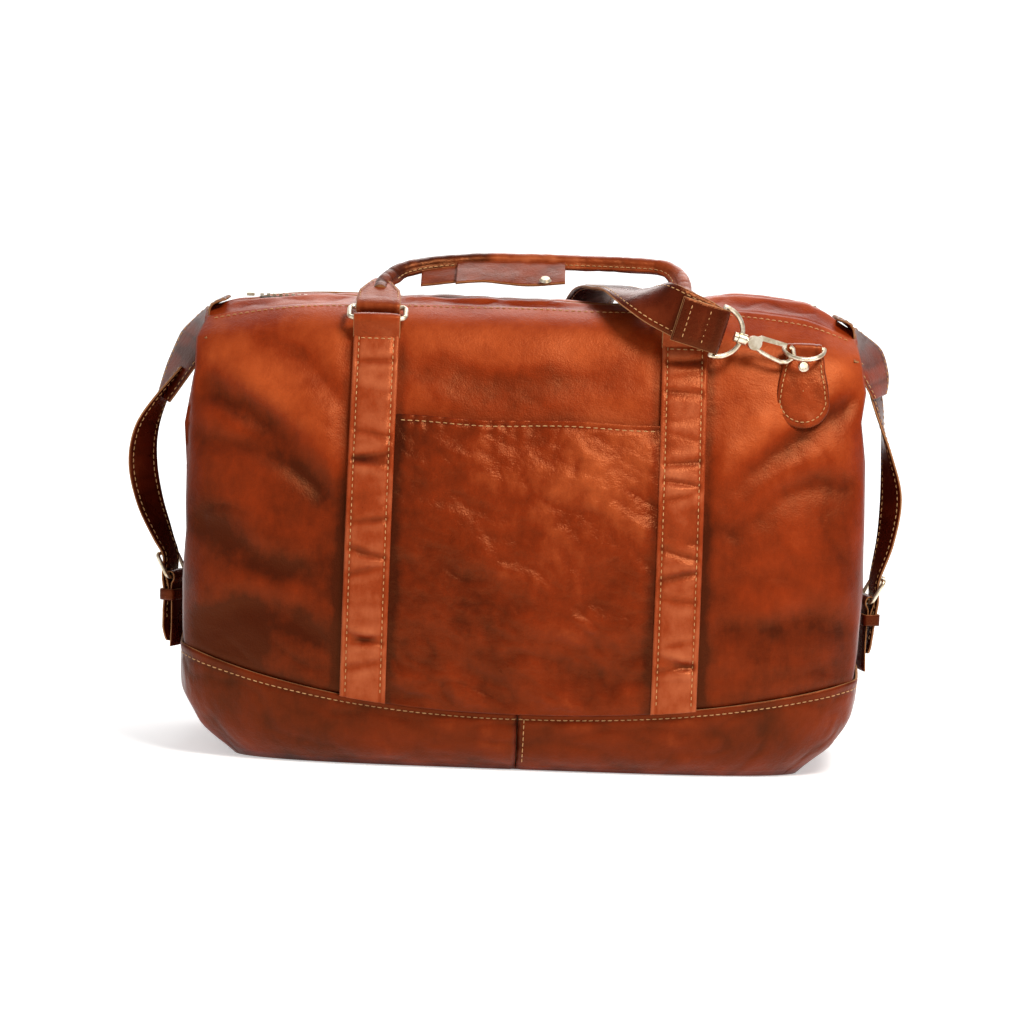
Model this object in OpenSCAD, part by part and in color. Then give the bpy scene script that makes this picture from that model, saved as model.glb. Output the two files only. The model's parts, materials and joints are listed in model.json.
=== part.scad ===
// Leather weekender duffel bag: soft shell with folded-in ends, arched zip top,
// rolled handles on brass rings, clipped shoulder strap and buckled side straps.
// Frame: X along the bag, -Y is the front, +Z up, origin under the middle of the base.

/* [Body] */
// Half of the bag's length at mid height
half_len = 270; // [250:1:290]
// Half of the bag's depth at its fullest
half_depth = 130; // [120:1:140]
// Thickness of the shell leather
leather_t = 1.8; // [1.4:0.1:2.2]
// Height of the base band at mid front
band_h = 40; // [34:1:46]
// Rise of the base band towards the ends
band_rise = 30; // [20:1:34]
// Thickness of the stiff base board
board_t = 4; // [2:0.5:5]

/* [Straps and pocket] */
// Distance of the upright handle straps from the middle
strap_x = 122; // [116:1:126]
// Width of the upright handle straps
strap_w = 36; // [32:1:38]
// Thickness of the upright handle straps
strap_t = 2.6; // [2:0.1:3]
// Height of the slip pocket's hem
pocket_top = 277; // [260:1:280]
// How far the slip pocket stands out at its mouth
pocket_puff = 8; // [7.5:0.5:9]

/* [Handles] */
// Diameter of the rolled grip
grip_d = 14; // [12:1:15]
// Diameter of the ring and buckle wire
wire_d = 4; // [3.4:0.2:4]
// Width of the flat tab at each end of a handle
tab_w = 34; // [30:1:35]
// Angle from upright at which the front handle leans back over the top
front_lean = 65; // [64:1:66]
// Angle from upright at which the back handle hangs down behind
back_lean = 152; // [150:1:154]

/* [Shoulder strap] */
// Width of the shoulder strap
shoulder_w = 38; // [36:1:38]
// Thickness of the shoulder strap
shoulder_t = 3.4; // [3:0.1:3.6]
// Width of the side straps
side_w = 25; // [22:1:26]

/* [Zip] */
// Length of the row of teeth
zip_len = 440; // [400:10:440]
// Height of the middle of the teeth
zip_z = 364; // [363:0.5:364.5]
// Teeth along each side
teeth_count = 44; // [30:1:60]

/* [Hidden] */
SIDES = ["left", "right"];

cognac = [0.55, 0.22, 0.1];
mahogany = [0.36, 0.1, 0.05];
old_brass = [0.82, 0.72, 0.52];
canvas = [0.5, 0.43, 0.32];
zip_brown = [0.2, 0.1, 0.06];

// Outline of the bag by height: half length, half depth, ear position and end fold
function len_at(z) = half_len + lookup(z, [[0, -48], [10, -36], [24, -20], [46, -7],
    [75, -2], [200, 0], [350, -2]]);
function depth_at(z) = half_depth + lookup(z, [[0, -18], [12, -9], [30, -4], [60, -1], [120, 0],
    [180, -6], [240, -18], [300, -38], [330, -51], [352, -61]]);
function ear_at(z) = lookup(z, [[0, 78], [60, 86], [120, 88], [200, 82], [300, 62], [352, 46]]);
function fold_at(z) = lookup(z, [[0, -12], [60, -10], [110, 0], [200, 16], [280, 34], [352, 44]]);
function share(x) = min(1, abs(x) / half_len);
function seam_z(x) = band_h + band_rise * pow(share(x), 2.2);
function top_z(x) = 352 - 20 * pow(share(x), 2.5);
function crest_z(x) = zip_z - 16 * pow(share(x), 5);

// Depth of the front surface at a place x and height z, measured from the middle plane
function front_depth(x, z) =
    ear_at(z) + (depth_at(z) - ear_at(z)) * sqrt(max(0, 1 - pow(min(1, abs(x) / len_at(z)), 4)));

// Points of the right half of the outline at height z, front middle round to back middle
front_steps = 10;
end_steps = 8;
function front_x(i, z, inset) = (len_at(z) - inset) * sin(90 * i / front_steps);
function half_outline(z, inset) = concat(
    [for (i = [0:front_steps])
        [front_x(i, z, inset), -front_depth(front_x(i, z, 0), z) + inset, z]],
    [for (j = [1:end_steps - 1])
        let (f = 2 * j / end_steps - 1)
        [len_at(z) - inset - fold_at(z) * (1 - pow(abs(f), 1.6)), f * (ear_at(z) - inset), z]],
    [for (i = [front_steps:-1:0])
        [front_x(i, z, inset), front_depth(front_x(i, z, 0), z) - inset, z]]);
function flip_x(p) = [-p[0], p[1], p[2]];
function outline(z, inset) = let (half = half_outline(z, inset), n = len(half))
    concat(half, [for (k = [n - 2:-1:1]) flip_x(half[k])]);

// Vector helpers
function unit(v) = v / norm(v);
function blend(a, b, f) = a * (1 - f) + b * f;
function curve(a, b, c, d, f) = 0.5 * (2 * b + (c - a) * f + (2 * a - 5 * b + 4 * c - d) * f * f
    + (3 * b - 3 * c + d - a) * f * f * f);
function smooth(p, steps) = let (last = len(p) - 1) concat(
    [for (i = [0:last - 1], k = [0:steps - 1])
        curve(p[max(0, i - 1)], p[i], p[i + 1], p[min(last, i + 2)], k / steps)], [p[last]]);
function slope(p, i) = unit(p[min(len(p) - 1, i + 1)] - p[max(0, i - 1)]);

// Closed solid between two matching grids of points
module skin(outer, inner) {
    rows = len(outer);
    cols = len(outer[0]);
    size = rows * cols;
    function at(i, j) = i * cols + j;
    rim = concat([for (j = [0:cols - 1]) at(0, j)], [for (i = [1:rows - 1]) at(i, cols - 1)],
        [for (j = [cols - 2:-1:0]) at(rows - 1, j)], [for (i = [rows - 2:-1:1]) at(i, 0)]);
    polyhedron(
        points = concat([for (r = outer) each r], [for (r = inner) each r]),
        faces = concat(
            [for (i = [0:rows - 2], j = [0:cols - 2]) each
                [[at(i, j), at(i + 1, j), at(i, j + 1)], [at(i + 1, j), at(i + 1, j + 1), at(i, j + 1)]]],
            [for (i = [0:rows - 2], j = [0:cols - 2]) each
                [[size + at(i, j), size + at(i, j + 1), size + at(i + 1, j)],
                [size + at(i + 1, j), size + at(i, j + 1), size + at(i + 1, j + 1)]]],
            [for (k = [0:len(rim) - 1]) let (a = rim[k], b = rim[(k + 1) % len(rim)]) each
                [[a, b, size + a], [b, size + b, size + a]]]));
}

// Flat strap swept along a route: points, width directions, widths and one thickness
module ribbon(route, across, widths, t, lift = 0) {
    n = len(route) - 1;
    function side(i) = let (s = slope(route, i)) unit(across[i] - (across[i] * s) * s);
    function up(i) = cross(slope(route, i), side(i));
    function rail(i, w, h) = route[i] + side(i) * w * widths[i] / 2 + up(i) * (h * t / 2 + lift);
    skin([for (i = [0:n]) [rail(i, -1, -1), rail(i, 0, -1), rail(i, 1, -1)]],
        [for (i = [0:n]) [rail(i, -1, 1), rail(i, 0, 1), rail(i, 1, 1)]]);
}

// Round bar through a list of points
module rod(points, d, sides = 10) {
    n = len(points) - 1;
    function ring(i) = let (
        s = slope(points, i),
        a = unit(cross(s, abs(s[1]) < 0.8 ? [0, 1, 0] : [1, 0, 0])),
        b = cross(s, a))
        [for (k = [0:sides - 1]) points[i] + (a * cos(360 * k / sides) + b * sin(360 * k / sides)) * d / 2];
    polyhedron(
        points = [for (i = [0:n]) each ring(i)],
        faces = concat(
            [for (i = [0:n - 1], k = [0:sides - 1]) let (m = (k + 1) % sides)
                [i * sides + k, (i + 1) * sides + k, (i + 1) * sides + m, i * sides + m]],
            [[for (k = [0:sides - 1]) k]],
            [[for (k = [sides - 1:-1:0]) n * sides + k]]));
}

// Front surface patch between two x positions, standing off the shell
module front_patch(x0, x1, low, high, cols, rows, off, t) {
    function spot(i, j, push) = let (
        x = blend(x0, x1, j / cols),
        z = blend(low + seam_z(x), min(high, top_z(x)), i / rows))
        [x, -front_depth(x, z) - off - push, z];
    skin([for (i = [0:rows]) [for (j = [0:cols]) spot(i, j, t)]],
        [for (i = [0:rows]) [for (j = [0:cols]) spot(i, j, 0)]]);
}

module front_panel() {
    color(cognac)
    skin(panel_grid(0), panel_grid(leather_t));
}
panel_cols = 24;
panel_rows = 12;
function panel_grid(inset) = [for (i = [0:panel_rows]) [for (j = [0:panel_cols]) let (
    f = sin(90 * (2 * j / panel_cols - 1)),
    x = f * (half_len - 2.5),
    z = blend(seam_z(x) + 0.4, top_z(x), i / panel_rows))
    [x * (len_at(z) - inset / 3) / half_len, -front_depth(x, z) + inset, z]]];

module back_panel() {
    mirror([0, 1, 0]) front_panel();
}

module end_panel(side) {
    rows = 12;
    cols = 12;
    function spot(i, j, inset) = let (
        f = (2 * j / cols - 1),
        z = blend(seam_z(half_len) + 0.4, 328 - 26 * (1 - f * f), i / rows))
        [len_at(z) - 3 - inset - fold_at(z) * (1 - pow(abs(f), 1.6)), f * (ear_at(z) - 2.2), z];
    color(cognac) place_side(side)
    skin([for (i = [0:rows]) [for (j = [0:cols]) spot(i, j, 0)]],
        [for (i = [0:rows]) [for (j = [0:cols]) spot(i, j, leather_t)]]);
}

// Things are drawn for the right end and mirrored for the left
module place_side(side) {
    if (side == "right") children();
    else mirror([1, 0, 0]) children();
}

module base_band(side) {
    heights = [0, 0.12, 0.3, 0.6, 1];
    function spot(h, k, inset) = let (p = half_outline(0, 0)[k], z = blend(1, seam_z(p[0]), h),
        q = half_outline(z, inset)[k]) [q[0] < 0.3 ? 0.3 : q[0], q[1], z];
    last = len(half_outline(0, 0)) - 1;
    color(cognac) place_side(side)
    skin([for (h = heights) [for (k = [0:last]) spot(h, k, 0)]],
        [for (h = heights) [for (k = [0:last]) spot(h, k, leather_t + 0.2)]]);
}

module base_underside() {
    color(cognac)
    linear_extrude(2.8) polygon([for (p = outline(0, 4)) [p[0], p[1]]]);
}

module base_board() {
    color(canvas) translate([0, 0, 3.2])
    linear_extrude(board_t) polygon([for (p = outline(0, 8)) [p[0], p[1]]]);
}

// Cotton lining: two long walls and two folded ends, standing on the base board
lining_inset = 8;
lining_t = 1.4;
lining_low = 9;
lining_high = 322;
lining_gap = 6;
lining_play = 2.4;
function end_x(y, z) = len_at(z) - 3 - fold_at(z) * (1 - pow(abs(y) / (ear_at(z) - 2.2), 1.6));
function lining_reach(z) = end_x(ear_at(z) - lining_inset, z) - lining_gap - 1.7 * lining_t - lining_play;
module lining_wall() {
    rows = 9;
    cols = 20;
    function spot(i, j, push) = let (
        z = blend(lining_low, lining_high, i / rows),
        f = sin(90 * (2 * j / cols - 1)))
        [f * lining_reach(z), -front_depth(f * len_at(z), z) + push, z];
    color(canvas)
    skin([for (i = [0:rows]) [for (j = [0:cols]) spot(i, j, lining_inset)]],
        [for (i = [0:rows]) [for (j = [0:cols]) spot(i, j, lining_inset + lining_t)]]);
}
module lining_end() {
    rows = 9;
    cols = 10;
    function spot(i, j, inset) = let (
        f = 2 * j / cols - 1,
        z = blend(lining_low, lining_high - 20 * (1 - f * f), i / rows),
        y = f * (ear_at(z) - lining_inset))
        [end_x(y, z) - inset, y, z];
    color(canvas)
    skin([for (i = [0:rows]) [for (j = [0:cols]) spot(i, j, lining_gap)]],
        [for (i = [0:rows]) [for (j = [0:cols]) spot(i, j, lining_gap + 1.7 * lining_t)]]);
}

// Zip: two leather facings, tapes, teeth, stops, slider and puller
facing_gap = 10;
module zip_facing() {
    cols = 24;
    rows = 3;
    function spot(i, j, drop) = let (
        x = (2 * j / cols - 1) * (half_len - 8),
        y0 = front_depth(x, top_z(x)) - 1,
        f = i / rows)
        [x, -blend(y0, facing_gap, f), blend(top_z(x) + 2.2, crest_z(x), sin(90 * f)) - drop];
    color(cognac)
    skin([for (i = [0:rows]) [for (j = [0:cols]) spot(i, j, 0)]],
        [for (i = [0:rows]) [for (j = [0:cols]) spot(i, j, leather_t)]]);
}

module zip_tapes() {
    color(zip_brown) for (way = [-1, 1])
    translate([-zip_len / 2, way * 6.1 - 3.5, zip_z - 3.4]) cube([zip_len, 7, 0.8]);
}

tooth_w = 2.6;
module zip_teeth(way) {
    pitch = zip_len / teeth_count;
    shift = way > 0 ? pitch / 2 : 0;
    color(old_brass) {
        for (k = [0:teeth_count - 1])
        translate([-zip_len / 2 + shift + k * pitch, way * 2 - 2.2, zip_z - 2.4])
        cube([min(tooth_w, pitch / 2 - 0.8), 4.4, 2.4]);
    }
}

module zip_end_stops() {
    color(old_brass) for (s = [-1, 1])
    translate([s * (zip_len / 2 + 8) - 3, -5, zip_z - 2.4]) cube([6, 10, 2.4]);
}

slider_x = 200;
slider_pin_z = 5.4;
module zip_slider() {
    color(old_brass) translate([slider_x, 0, zip_z]) mirror([1, 0, 0]) {
        difference() {
            translate([-7, -5, 0.4]) cube([14, 10, 2]);
            translate([-9, 0, 0]) rotate([0, 0, 45]) cube([5, 5, 8], center = true);
        }
        difference() {
            translate([-4, -1.2, 2]) cube([8, 2.4, 5.2]);
            translate([0, 5, slider_pin_z]) rotate([90, 0, 0]) cylinder(d = 2.2, h = 10, $fn = 24);
        }
    }
}

puller_l = 30;
module zip_puller() {
    color(old_brass) translate([slider_x, 0, zip_z + slider_pin_z]) mirror([1, 0, 0]) {
        rotate([90, 0, 0]) cylinder(d = 1.9, h = 8, center = true, $fn = 24);
        for (s = [-1, 1]) translate([-8, s * 3.4 - 0.8, -0.8]) cube([8.6, 1.6, 1.6]);
        translate([-puller_l, -4.2, -0.8]) cube([puller_l - 7, 8.4, 1.6]);
    }
}

pocket_half = 103;
module front_pocket() {
    cols = 16;
    rows = 8;
    function puff(x, f) = 1.2 + (pocket_puff - 1.2) * (1 - pow(abs(x) / pocket_half, 3)) * (0.25 + 0.75 * f);
    function spot(i, j, push) = let (
        x = blend(-pocket_half, pocket_half, j / cols),
        z = blend(seam_z(x) + 1.5, pocket_top, i / rows))
        [x, -front_depth(x, z) - puff(x, i / rows) - push, z];
    color(cognac)
    skin([for (i = [0:rows]) [for (j = [0:cols]) spot(i, j, 1.6)]],
        [for (i = [0:rows]) [for (j = [0:cols]) spot(i, j, 0)]]);
}

module handle_strap(x) {
    color(cognac)
    front_patch(x - strap_w / 2, x + strap_w / 2, 1.5, 344, 3, 16, 1.4, strap_t);
}

// Rings sit in leather loops at the strap tops; a handle hangs on each pair
ring_axis = [0, -80, 351.2];
ring_rise = 19;
ring_half = 22.2;
loop_r = 4.6;
module leather_loop(w) {
    rotate([0, 90, 0]) difference() {
        cylinder(r = loop_r, h = w, center = true, $fn = 40);
        cylinder(d = wire_d + 0.16, h = w + 2, center = true, $fn = 40);
    }
}

module ring_loops() {
    color(cognac) for (s = [-1, 1]) translate([s * strap_x, ring_axis[1], ring_axis[2]]) leather_loop(strap_w);
}

module corner_bend(r, d) {
    rotate_extrude(angle = 90, $fn = 48) translate([r, 0]) circle(d = d, $fn = 24);
}

// Rectangular ring in the XZ plane, lower bar on the origin
module rect_ring(half, rise, d) {
    r = 4;
    for (z = [0, rise]) translate([0, 0, z]) rotate([0, 90, 0])
        cylinder(d = d, h = 2 * (half - r), center = true, $fn = 24);
    for (s = [-1, 1]) translate([s * half, 0, r]) cylinder(d = d, h = rise - 2 * r, $fn = 24);
    for (s = [0, 1], u = [0, 1]) mirror([s, 0, 0]) translate([half - r, 0, u * (rise - 2 * r) + r])
        rotate([90, 0, 0]) mirror([0, 1 - u, 0]) corner_bend(r, d);
}

module rings() {
    for (s = [-1, 1]) translate([s * strap_x, 0, 0]) rect_ring(ring_half, ring_rise, wire_d);
}

// Places things drawn upright on the ring axis, leaning by an angle towards the back
module on_front_axis() {
    translate(ring_axis) rotate([-front_lean, 0, 0]) children();
}
module on_back_axis() {
    mirror([0, 1, 0]) translate(ring_axis) rotate([back_lean, 0, 0]) children();
}

module rings_front() {
    color(old_brass) on_front_axis() rings();
}
module rings_back() {
    color(old_brass) on_back_axis() rings();
}

// Handle drawn upright over the ring's upper bar: tab loops, tabs and rolled grip
handle_rise = 88;
handle_route = [[-122, 0, 30], [-118, 0, 46], [-106, 0, 64], [-80, 0, 78], [-40, 0, 87], [10, 0, 89],
    [60, 0, 89], [96, 0, 88], [112, 0, 80], [120, 0, 64], [122, 0, 46], [122, 0, 30]];
module handle() {
    for (s = [-1, 1]) translate([s * strap_x, 0, 0]) {
        leather_loop(tab_w);
        tab_outline = [[-tab_w / 2, 0], [tab_w / 2, 0], [tab_w / 2, 20], [8, 38], [-8, 38], [-tab_w / 2, 20]];
        difference() {
            translate([0, 2, 0]) rotate([90, 0, 0]) linear_extrude(4) polygon(tab_outline);
            rotate([0, 90, 0]) cylinder(d = wire_d + 0.16, h = tab_w + 2, center = true, $fn = 40);
        }
    }
    rod(smooth(handle_route, 3), grip_d, 12);
}
module handle_front() {
    color(cognac) on_front_axis() translate([0, 0, ring_rise]) handle();
}
module handle_back() {
    color(cognac) on_back_axis() translate([0, 0, ring_rise]) handle();
}

// Wrap that closes round both grips: it hangs open from the front grip in two leaves
wrap_top = ring_rise + handle_rise - grip_d / 2 - 0.4;
wrap_stud = [10, 32];
wrap_t = 2;
wrap_edge = [[-90, 84], [-80, 88.8], [-60, 94.4], [-40, 98.2], [-20, 99.2], [24, wrap_top]];
inner_leaf = [-90, 20, 30];
outer_leaf = [-62, 24, 40];
module wrap_leaf(leaf, layer) {
    translate([0, -(layer - 1) * wrap_t + 0.005, 0]) rotate([90, 0, 0]) linear_extrude(wrap_t + 0.01)
    intersection() {
        translate([leaf[0], wrap_top - leaf[2]]) square([leaf[1] - leaf[0], leaf[2] + 1]);
        polygon(concat([[24, 0], [-90, 0]], wrap_edge));
    }
}
module handle_wrap() {
    color(mahogany) on_front_axis() difference() {
        union() {
            wrap_leaf(inner_leaf, 1);
            wrap_leaf(outer_leaf, 2);
        }
        translate([wrap_stud[0], 4, wrap_top - wrap_stud[1]]) rotate([90, 0, 0]) cylinder(d = 4.2, h = 12, $fn = 24);
    }
}
module wrap_stud_cap() {
    color(old_brass) on_front_axis()
    translate([wrap_stud[0], -2 * wrap_t - 0.02, wrap_top - wrap_stud[1]]) rotate([90, 0, 0]) {
        cylinder(d1 = 10, d2 = 7, h = 2, $fn = 40);
        translate([0, 0, -2.1]) cylinder(d = 4, h = 2.2, $fn = 24);
    }
}

// D-ring tab: a teardrop of leather with a loop for the ring's straight bar
tab_x = 216;
tab_z = 325;
tab_stand = 5;
tab_y = -front_depth(tab_x, tab_z) - tab_stand;
tab_tilt = atan2(front_depth(tab_x, tab_z - 40) - front_depth(tab_x, tab_z), 40);
d_half = 16;
module on_tab() {
    translate([tab_x, tab_y, tab_z]) rotate([-tab_tilt, 0, 0]) children();
}
module on_back_tab() {
    rotate([0, 0, 180]) on_tab() children();
}
module d_ring_tab() {
    on_tab() {
        difference() {
            translate([0, 1.2, 0]) rotate([90, 0, 0]) linear_extrude(2.4) union() {
                polygon([[-15, 14], [15, 14], [21, -28], [-21, -28]]);
                translate([0, -28]) circle(r = 21, $fn = 64);
            }
            rotate([90, 0, 0]) cylinder(d = 3.2, h = 10, center = true, $fn = 24);
            translate([0, -2.4, 14]) rotate([0, 90, 0]) cylinder(d = 3.76, h = 38, center = true, $fn = 40);
        }
        translate([0, -2.4, 14]) rotate([0, 90, 0]) difference() {
            cylinder(r = 4, h = 27, center = true, $fn = 40);
            cylinder(d = 3.76, h = 30, center = true, $fn = 40);
        }
    }
}
module d_ring_tab_front() {
    color(cognac) d_ring_tab();
}
module d_ring_tab_back() {
    color(cognac) rotate([0, 0, 180]) d_ring_tab();
}

// D-ring: straight bar on the axis, bow hanging forward and down
d_wire = 3.6;
module d_ring(droop) {
    translate([0, -2.4, 14]) rotate([droop, 0, 0]) {
        rotate([0, 90, 0]) cylinder(d = d_wire, h = 2 * d_half, center = true, $fn = 24);
        for (s = [-1, 1]) translate([s * d_half, 0, 0]) sphere(d = d_wire, $fn = 24);
        rotate([90, 0, 0]) rotate([0, 0, 180]) rotate_extrude(angle = 180, $fn = 64)
            translate([d_half, 0]) circle(d = d_wire, $fn = 24);
    }
}
front_droop = -42.5;
back_droop = -25;
module d_ring_front() {
    color(old_brass) on_tab() d_ring(front_droop);
}
module d_ring_back() {
    color(old_brass) on_back_tab() d_ring(back_droop);
}
module tab_rivets() {
    color(old_brass) for (turn = [0, 180]) rotate([0, 0, turn]) on_tab() {
        translate([0, -1.2, 0]) rotate([90, 0, 0]) cylinder(d1 = 9.4, d2 = 6.4, h = 1.8, $fn = 40);
        rotate([90, 0, 0]) cylinder(d = 3, h = 3, center = true, $fn = 24);
    }
}

// Shoulder strap: from the front hook over the top, down behind in a loop, up to the back hook
shoulder_route = [[146.6, -93.7, 351.5], [124, -93, 361], [104, -90, 370], [88, -76, 376], [75, -46, 378.5],
    [66, -8, 378.5], [58, 30, 377], [51, 62, 370], [44, 83, 352], [38, 94, 322], [31, 107, 277],
    [22, 115, 249], [4, 139, 195], [-26, 157, 140], [-64, 162, 100], [-108, 161, 94], [-150, 159, 112],
    [-184, 151, 150], [-206, 138, 200], [-216, 122, 246], [-216, 111.7, 274.3]];
shoulder_across = [[5.6, 0.9, 8], [5, 1, 8], [6, 1, 7], [8, 2, 4], [10, 1, 0], [10, 1, 0], [10, 0, 0],
    [10, 0, 0], [10, 0, 0], [10, 0, 0], [10, 0, 1], [10, 0, 1], [9, 5, 1], [3, 9, 1], [0, 10, 0],
    [0, 10, 0], [-1, 10, 0], [-4, 9, 0], [-8, 5, 0], [-10, 1, -2], [-9, 0, -4.5]];
shoulder_path = smooth(shoulder_route, 4);
shoulder_wide = smooth(shoulder_across, 4);
shoulder_last = len(shoulder_path) - 1;
long_end = 70;
short_start = 58;
function piece(list, a, b) = [for (i = [a:b]) list[i]];
function square_across(path, wide, i) = let (s = slope(path, i)) unit(wide[i] - (wide[i] * s) * s);

// Frame on a route: X across the strap, Y out of its face, Z along it
module on_route(path, wide, i) {
    s = slope(path, i);
    a = square_across(path, wide, i);
    on_frame(path[i], a, cross(s, a), s) children();
}
module on_frame(o, x, y, z) {
    multmatrix([[x[0], y[0], z[0], o[0]], [x[1], y[1], z[1], o[1]], [x[2], y[2], z[2], o[2]]]) children();
}

function end_width(i) = i < 2 || i > shoulder_last - 2 ? 34 : shoulder_w;
module strap_length(a, b, lift) {
    route = piece(shoulder_path, a, b);
    ribbon(route, piece(shoulder_wide, a, b), [for (i = [a:b]) end_width(i)], shoulder_t, lift);
}
short_lift = -shoulder_t - 0.8;
adjuster_at = 62;
module adjuster_slot() {
    on_route(shoulder_path, shoulder_wide, adjuster_at) translate([-2.4, -10, -14]) cube([4.8, 20, 25]);
}
// Leather roll round the straight bar of a hook's swivel loop
swivel_wire = 3.8;
module strap_end_roll() {
    difference() {
        cylinder(r = 4.2, h = shoulder_w - 5, center = true, $fn = 40);
        cylinder(d = swivel_wire + 0.16, h = shoulder_w, center = true, $fn = 40);
    }
}
module shoulder_strap_long() {
    color(mahogany) difference() {
        union() {
            strap_length(0, long_end, 0);
            on_hook_front() strap_end_roll();
        }
        on_hook_front() cylinder(d = swivel_wire + 0.16, h = 60, center = true, $fn = 40);
        adjuster_slot();
    }
}
module shoulder_strap_short() {
    color(mahogany) difference() {
        union() {
            strap_length(short_start, shoulder_last, short_lift);
            on_hook_back() strap_end_roll();
        }
        on_hook_back() cylinder(d = swivel_wire + 0.16, h = 60, center = true, $fn = 40);
        adjuster_slot();
    }
}

// Buckle that joins the two lengths of shoulder strap
buckle_rise = 22;
buckle_lean = 34;
module on_adjuster() {
    on_route(shoulder_path, shoulder_wide, adjuster_at) translate([0, -9.6, -9]) rotate([-buckle_lean, 0, 0])
        children();
}
module adjuster_buckle() {
    color(old_brass) on_adjuster() rect_ring(shoulder_w / 2 + 3.4, buckle_rise + 4, wire_d);
}
module prong(reach, d) {
    difference() {
        union() {
            rotate([0, 90, 0]) cylinder(d = d + 2.8, h = 3.4, center = true, $fn = 32);
            translate([-1.4, 0, 0]) cube([2.8, 2.2 + d / 2, reach]);
        }
        rotate([0, 90, 0]) cylinder(d = d + 0.16, h = 5, center = true, $fn = 32);
        translate([-2, -d, d]) cube([4, d + d / 2 + 0.2, reach]);
    }
}
module adjuster_prong() {
    color(old_brass) on_adjuster() prong(buckle_rise + 5.5, wire_d);
}
module adjuster_keepers() {
    inner_w = shoulder_w + 1.2;
    inner_t = 2 * shoulder_t + 2.4;
    color(mahogany) for (i = [59, 66])
    on_route(shoulder_path, shoulder_wide, i) translate([0, short_lift / 2, 0])
    linear_extrude(9, center = true) difference() {
        square([inner_w + 3, inner_t + 3], center = true);
        square([inner_w, inner_t], center = true);
    }
}

// Snap hooks. Local frame: X from the strap to the nose, Z along the swivel loop's straight bar
hook_front_nose = [202.3, -83.9, 335.3];
hook_back_nose = [-216.6, 90.1, 329.3];
nose_reach = 59;
module on_hook(from, nose, bar) {
    x = unit(nose - from);
    z = unit(bar - (bar * x) * x);
    on_frame(nose - x * nose_reach, x, cross(z, x), z) children();
}
module on_hook_front() {
    on_hook(shoulder_route[0], hook_front_nose, shoulder_across[0]) children();
}
module on_hook_back() {
    on_hook(shoulder_route[20], hook_back_nose, shoulder_across[20]) children();
}
bow_r = 20;
collar_x = bow_r - 3;
hub_x = 31;
hub_r = 5.6;
shank_d = 4;
hook_wire = 3.4;
module hook_swivel() {
    difference() {
        union() {
            cylinder(d = swivel_wire, h = 2 * bow_r, center = true, $fn = 24);
            for (s = [-1, 1]) translate([0, 0, s * bow_r]) sphere(d = swivel_wire, $fn = 24);
            rotate([90, 0, 0]) rotate([0, 0, -90]) rotate_extrude(angle = 180, $fn = 64)
                translate([bow_r, 0]) circle(d = swivel_wire, $fn = 24);
            translate([collar_x, 0, 0]) rotate([0, 90, 0]) cylinder(d = 9, h = 7, $fn = 40);
        }
        translate([bow_r - 6, 0, 0]) rotate([0, 90, 0]) cylinder(d = shank_d + 0.14, h = 14, $fn = 40);
    }
}
hook_bend = [[3, 0, -3.4], [8, 0, -5.4], [17, 0, -7.2], [25, 0, -8], [30, 0, -6.4], [33, 0, -2.6], [33.4, 0, 1.4],
    [31.6, 0, 5], [28.6, 0, 6.2]];
module hook_body() {
    // Rivet head and shank run through the collar; the hub is slotted for the gate
    translate([collar_x - 3.2, 0, 0]) rotate([0, 90, 0]) cylinder(d = 7.4, h = 2.9, $fn = 40);
    translate([collar_x - 3.2, 0, 0]) rotate([0, 90, 0]) cylinder(d = shank_d, h = 12.6, $fn = 40);
    translate([hub_x, 0, 0]) difference() {
        union() {
            rotate([90, 0, 0]) cylinder(r = hub_r, h = 6.4, center = true, $fn = 48);
            rod(hook_bend, hook_wire, 12);
        }
        translate([-3.4, -1.5, -3.4]) cube([20, 3, 12]);
        rotate([90, 0, 0]) cylinder(d = 2.1, h = 20, center = true, $fn = 24);
    }
}
module hook_gate() {
    translate([hub_x, 0, 0]) {
        rotate([90, 0, 0]) cylinder(d = 2, h = 6.4, center = true, $fn = 24);
        rotate([90, 0, 0]) linear_extrude(2.6, center = true)
            polygon([[-2, -1.6], [0, -2.4], [2.2, -1.6], [6, 3.4], [25.4, 4.4], [25.4, 7.6], [4, 7.4], [-1.8, 3]]);
    }
}
back_hook_turn = 90;
module hook_swivel_front() {
    color(old_brass) on_hook_front() hook_swivel();
}
module hook_body_front() {
    color(old_brass) on_hook_front() hook_body();
}
module hook_gate_front() {
    color(old_brass) on_hook_front() hook_gate();
}
module hook_swivel_back() {
    color(old_brass) on_hook_back() hook_swivel();
}
module hook_body_back() {
    color(old_brass) on_hook_back() rotate([back_hook_turn, 0, 0]) hook_body();
}
module hook_gate_back() {
    color(old_brass) on_hook_back() rotate([back_hook_turn, 0, 0]) hook_gate();
}

// Ends: the zip tongue hangs over the end and runs on as a side strap to a buckle
function tongue_route(side) = side == "left"
    ? [[248, 0, 357], [264, 0, 355], [281, 0, 345], [293, -1, 325], [298, -2, 300], [300, -3, 278]]
    : [[248, 0, 357], [264, 0, 355], [278, 0, 346], [287, 0, 330], [289, 0, 312], [287, 0, 304]];
tongue_widths = [54, 60, 62, 58, 50, 44];
function side_route(side) = side == "left"
    ? [[292, -2, 300], [296.4, -4, 275], [302, -6, 250], [303, -6, 222], [298, -5, 192], [291, -2, 166],
        [288.2, 0, 148], [288.2, 0, 131], [286.2, 0, 116], [285.4, -2, 102], [285, -5, 88], [284.4, -7, 78]]
    : [[283, 0, 318], [285, 0, 296], [288, 1, 276], [293, 2, 248], [297, 2, 215], [293, 1, 180],
        [288.2, 0, 148], [288.2, 0, 131], [286, 0, 116], [284.6, -1, 104], [284, -2, 94], [283.6, -2, 88]];
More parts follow.
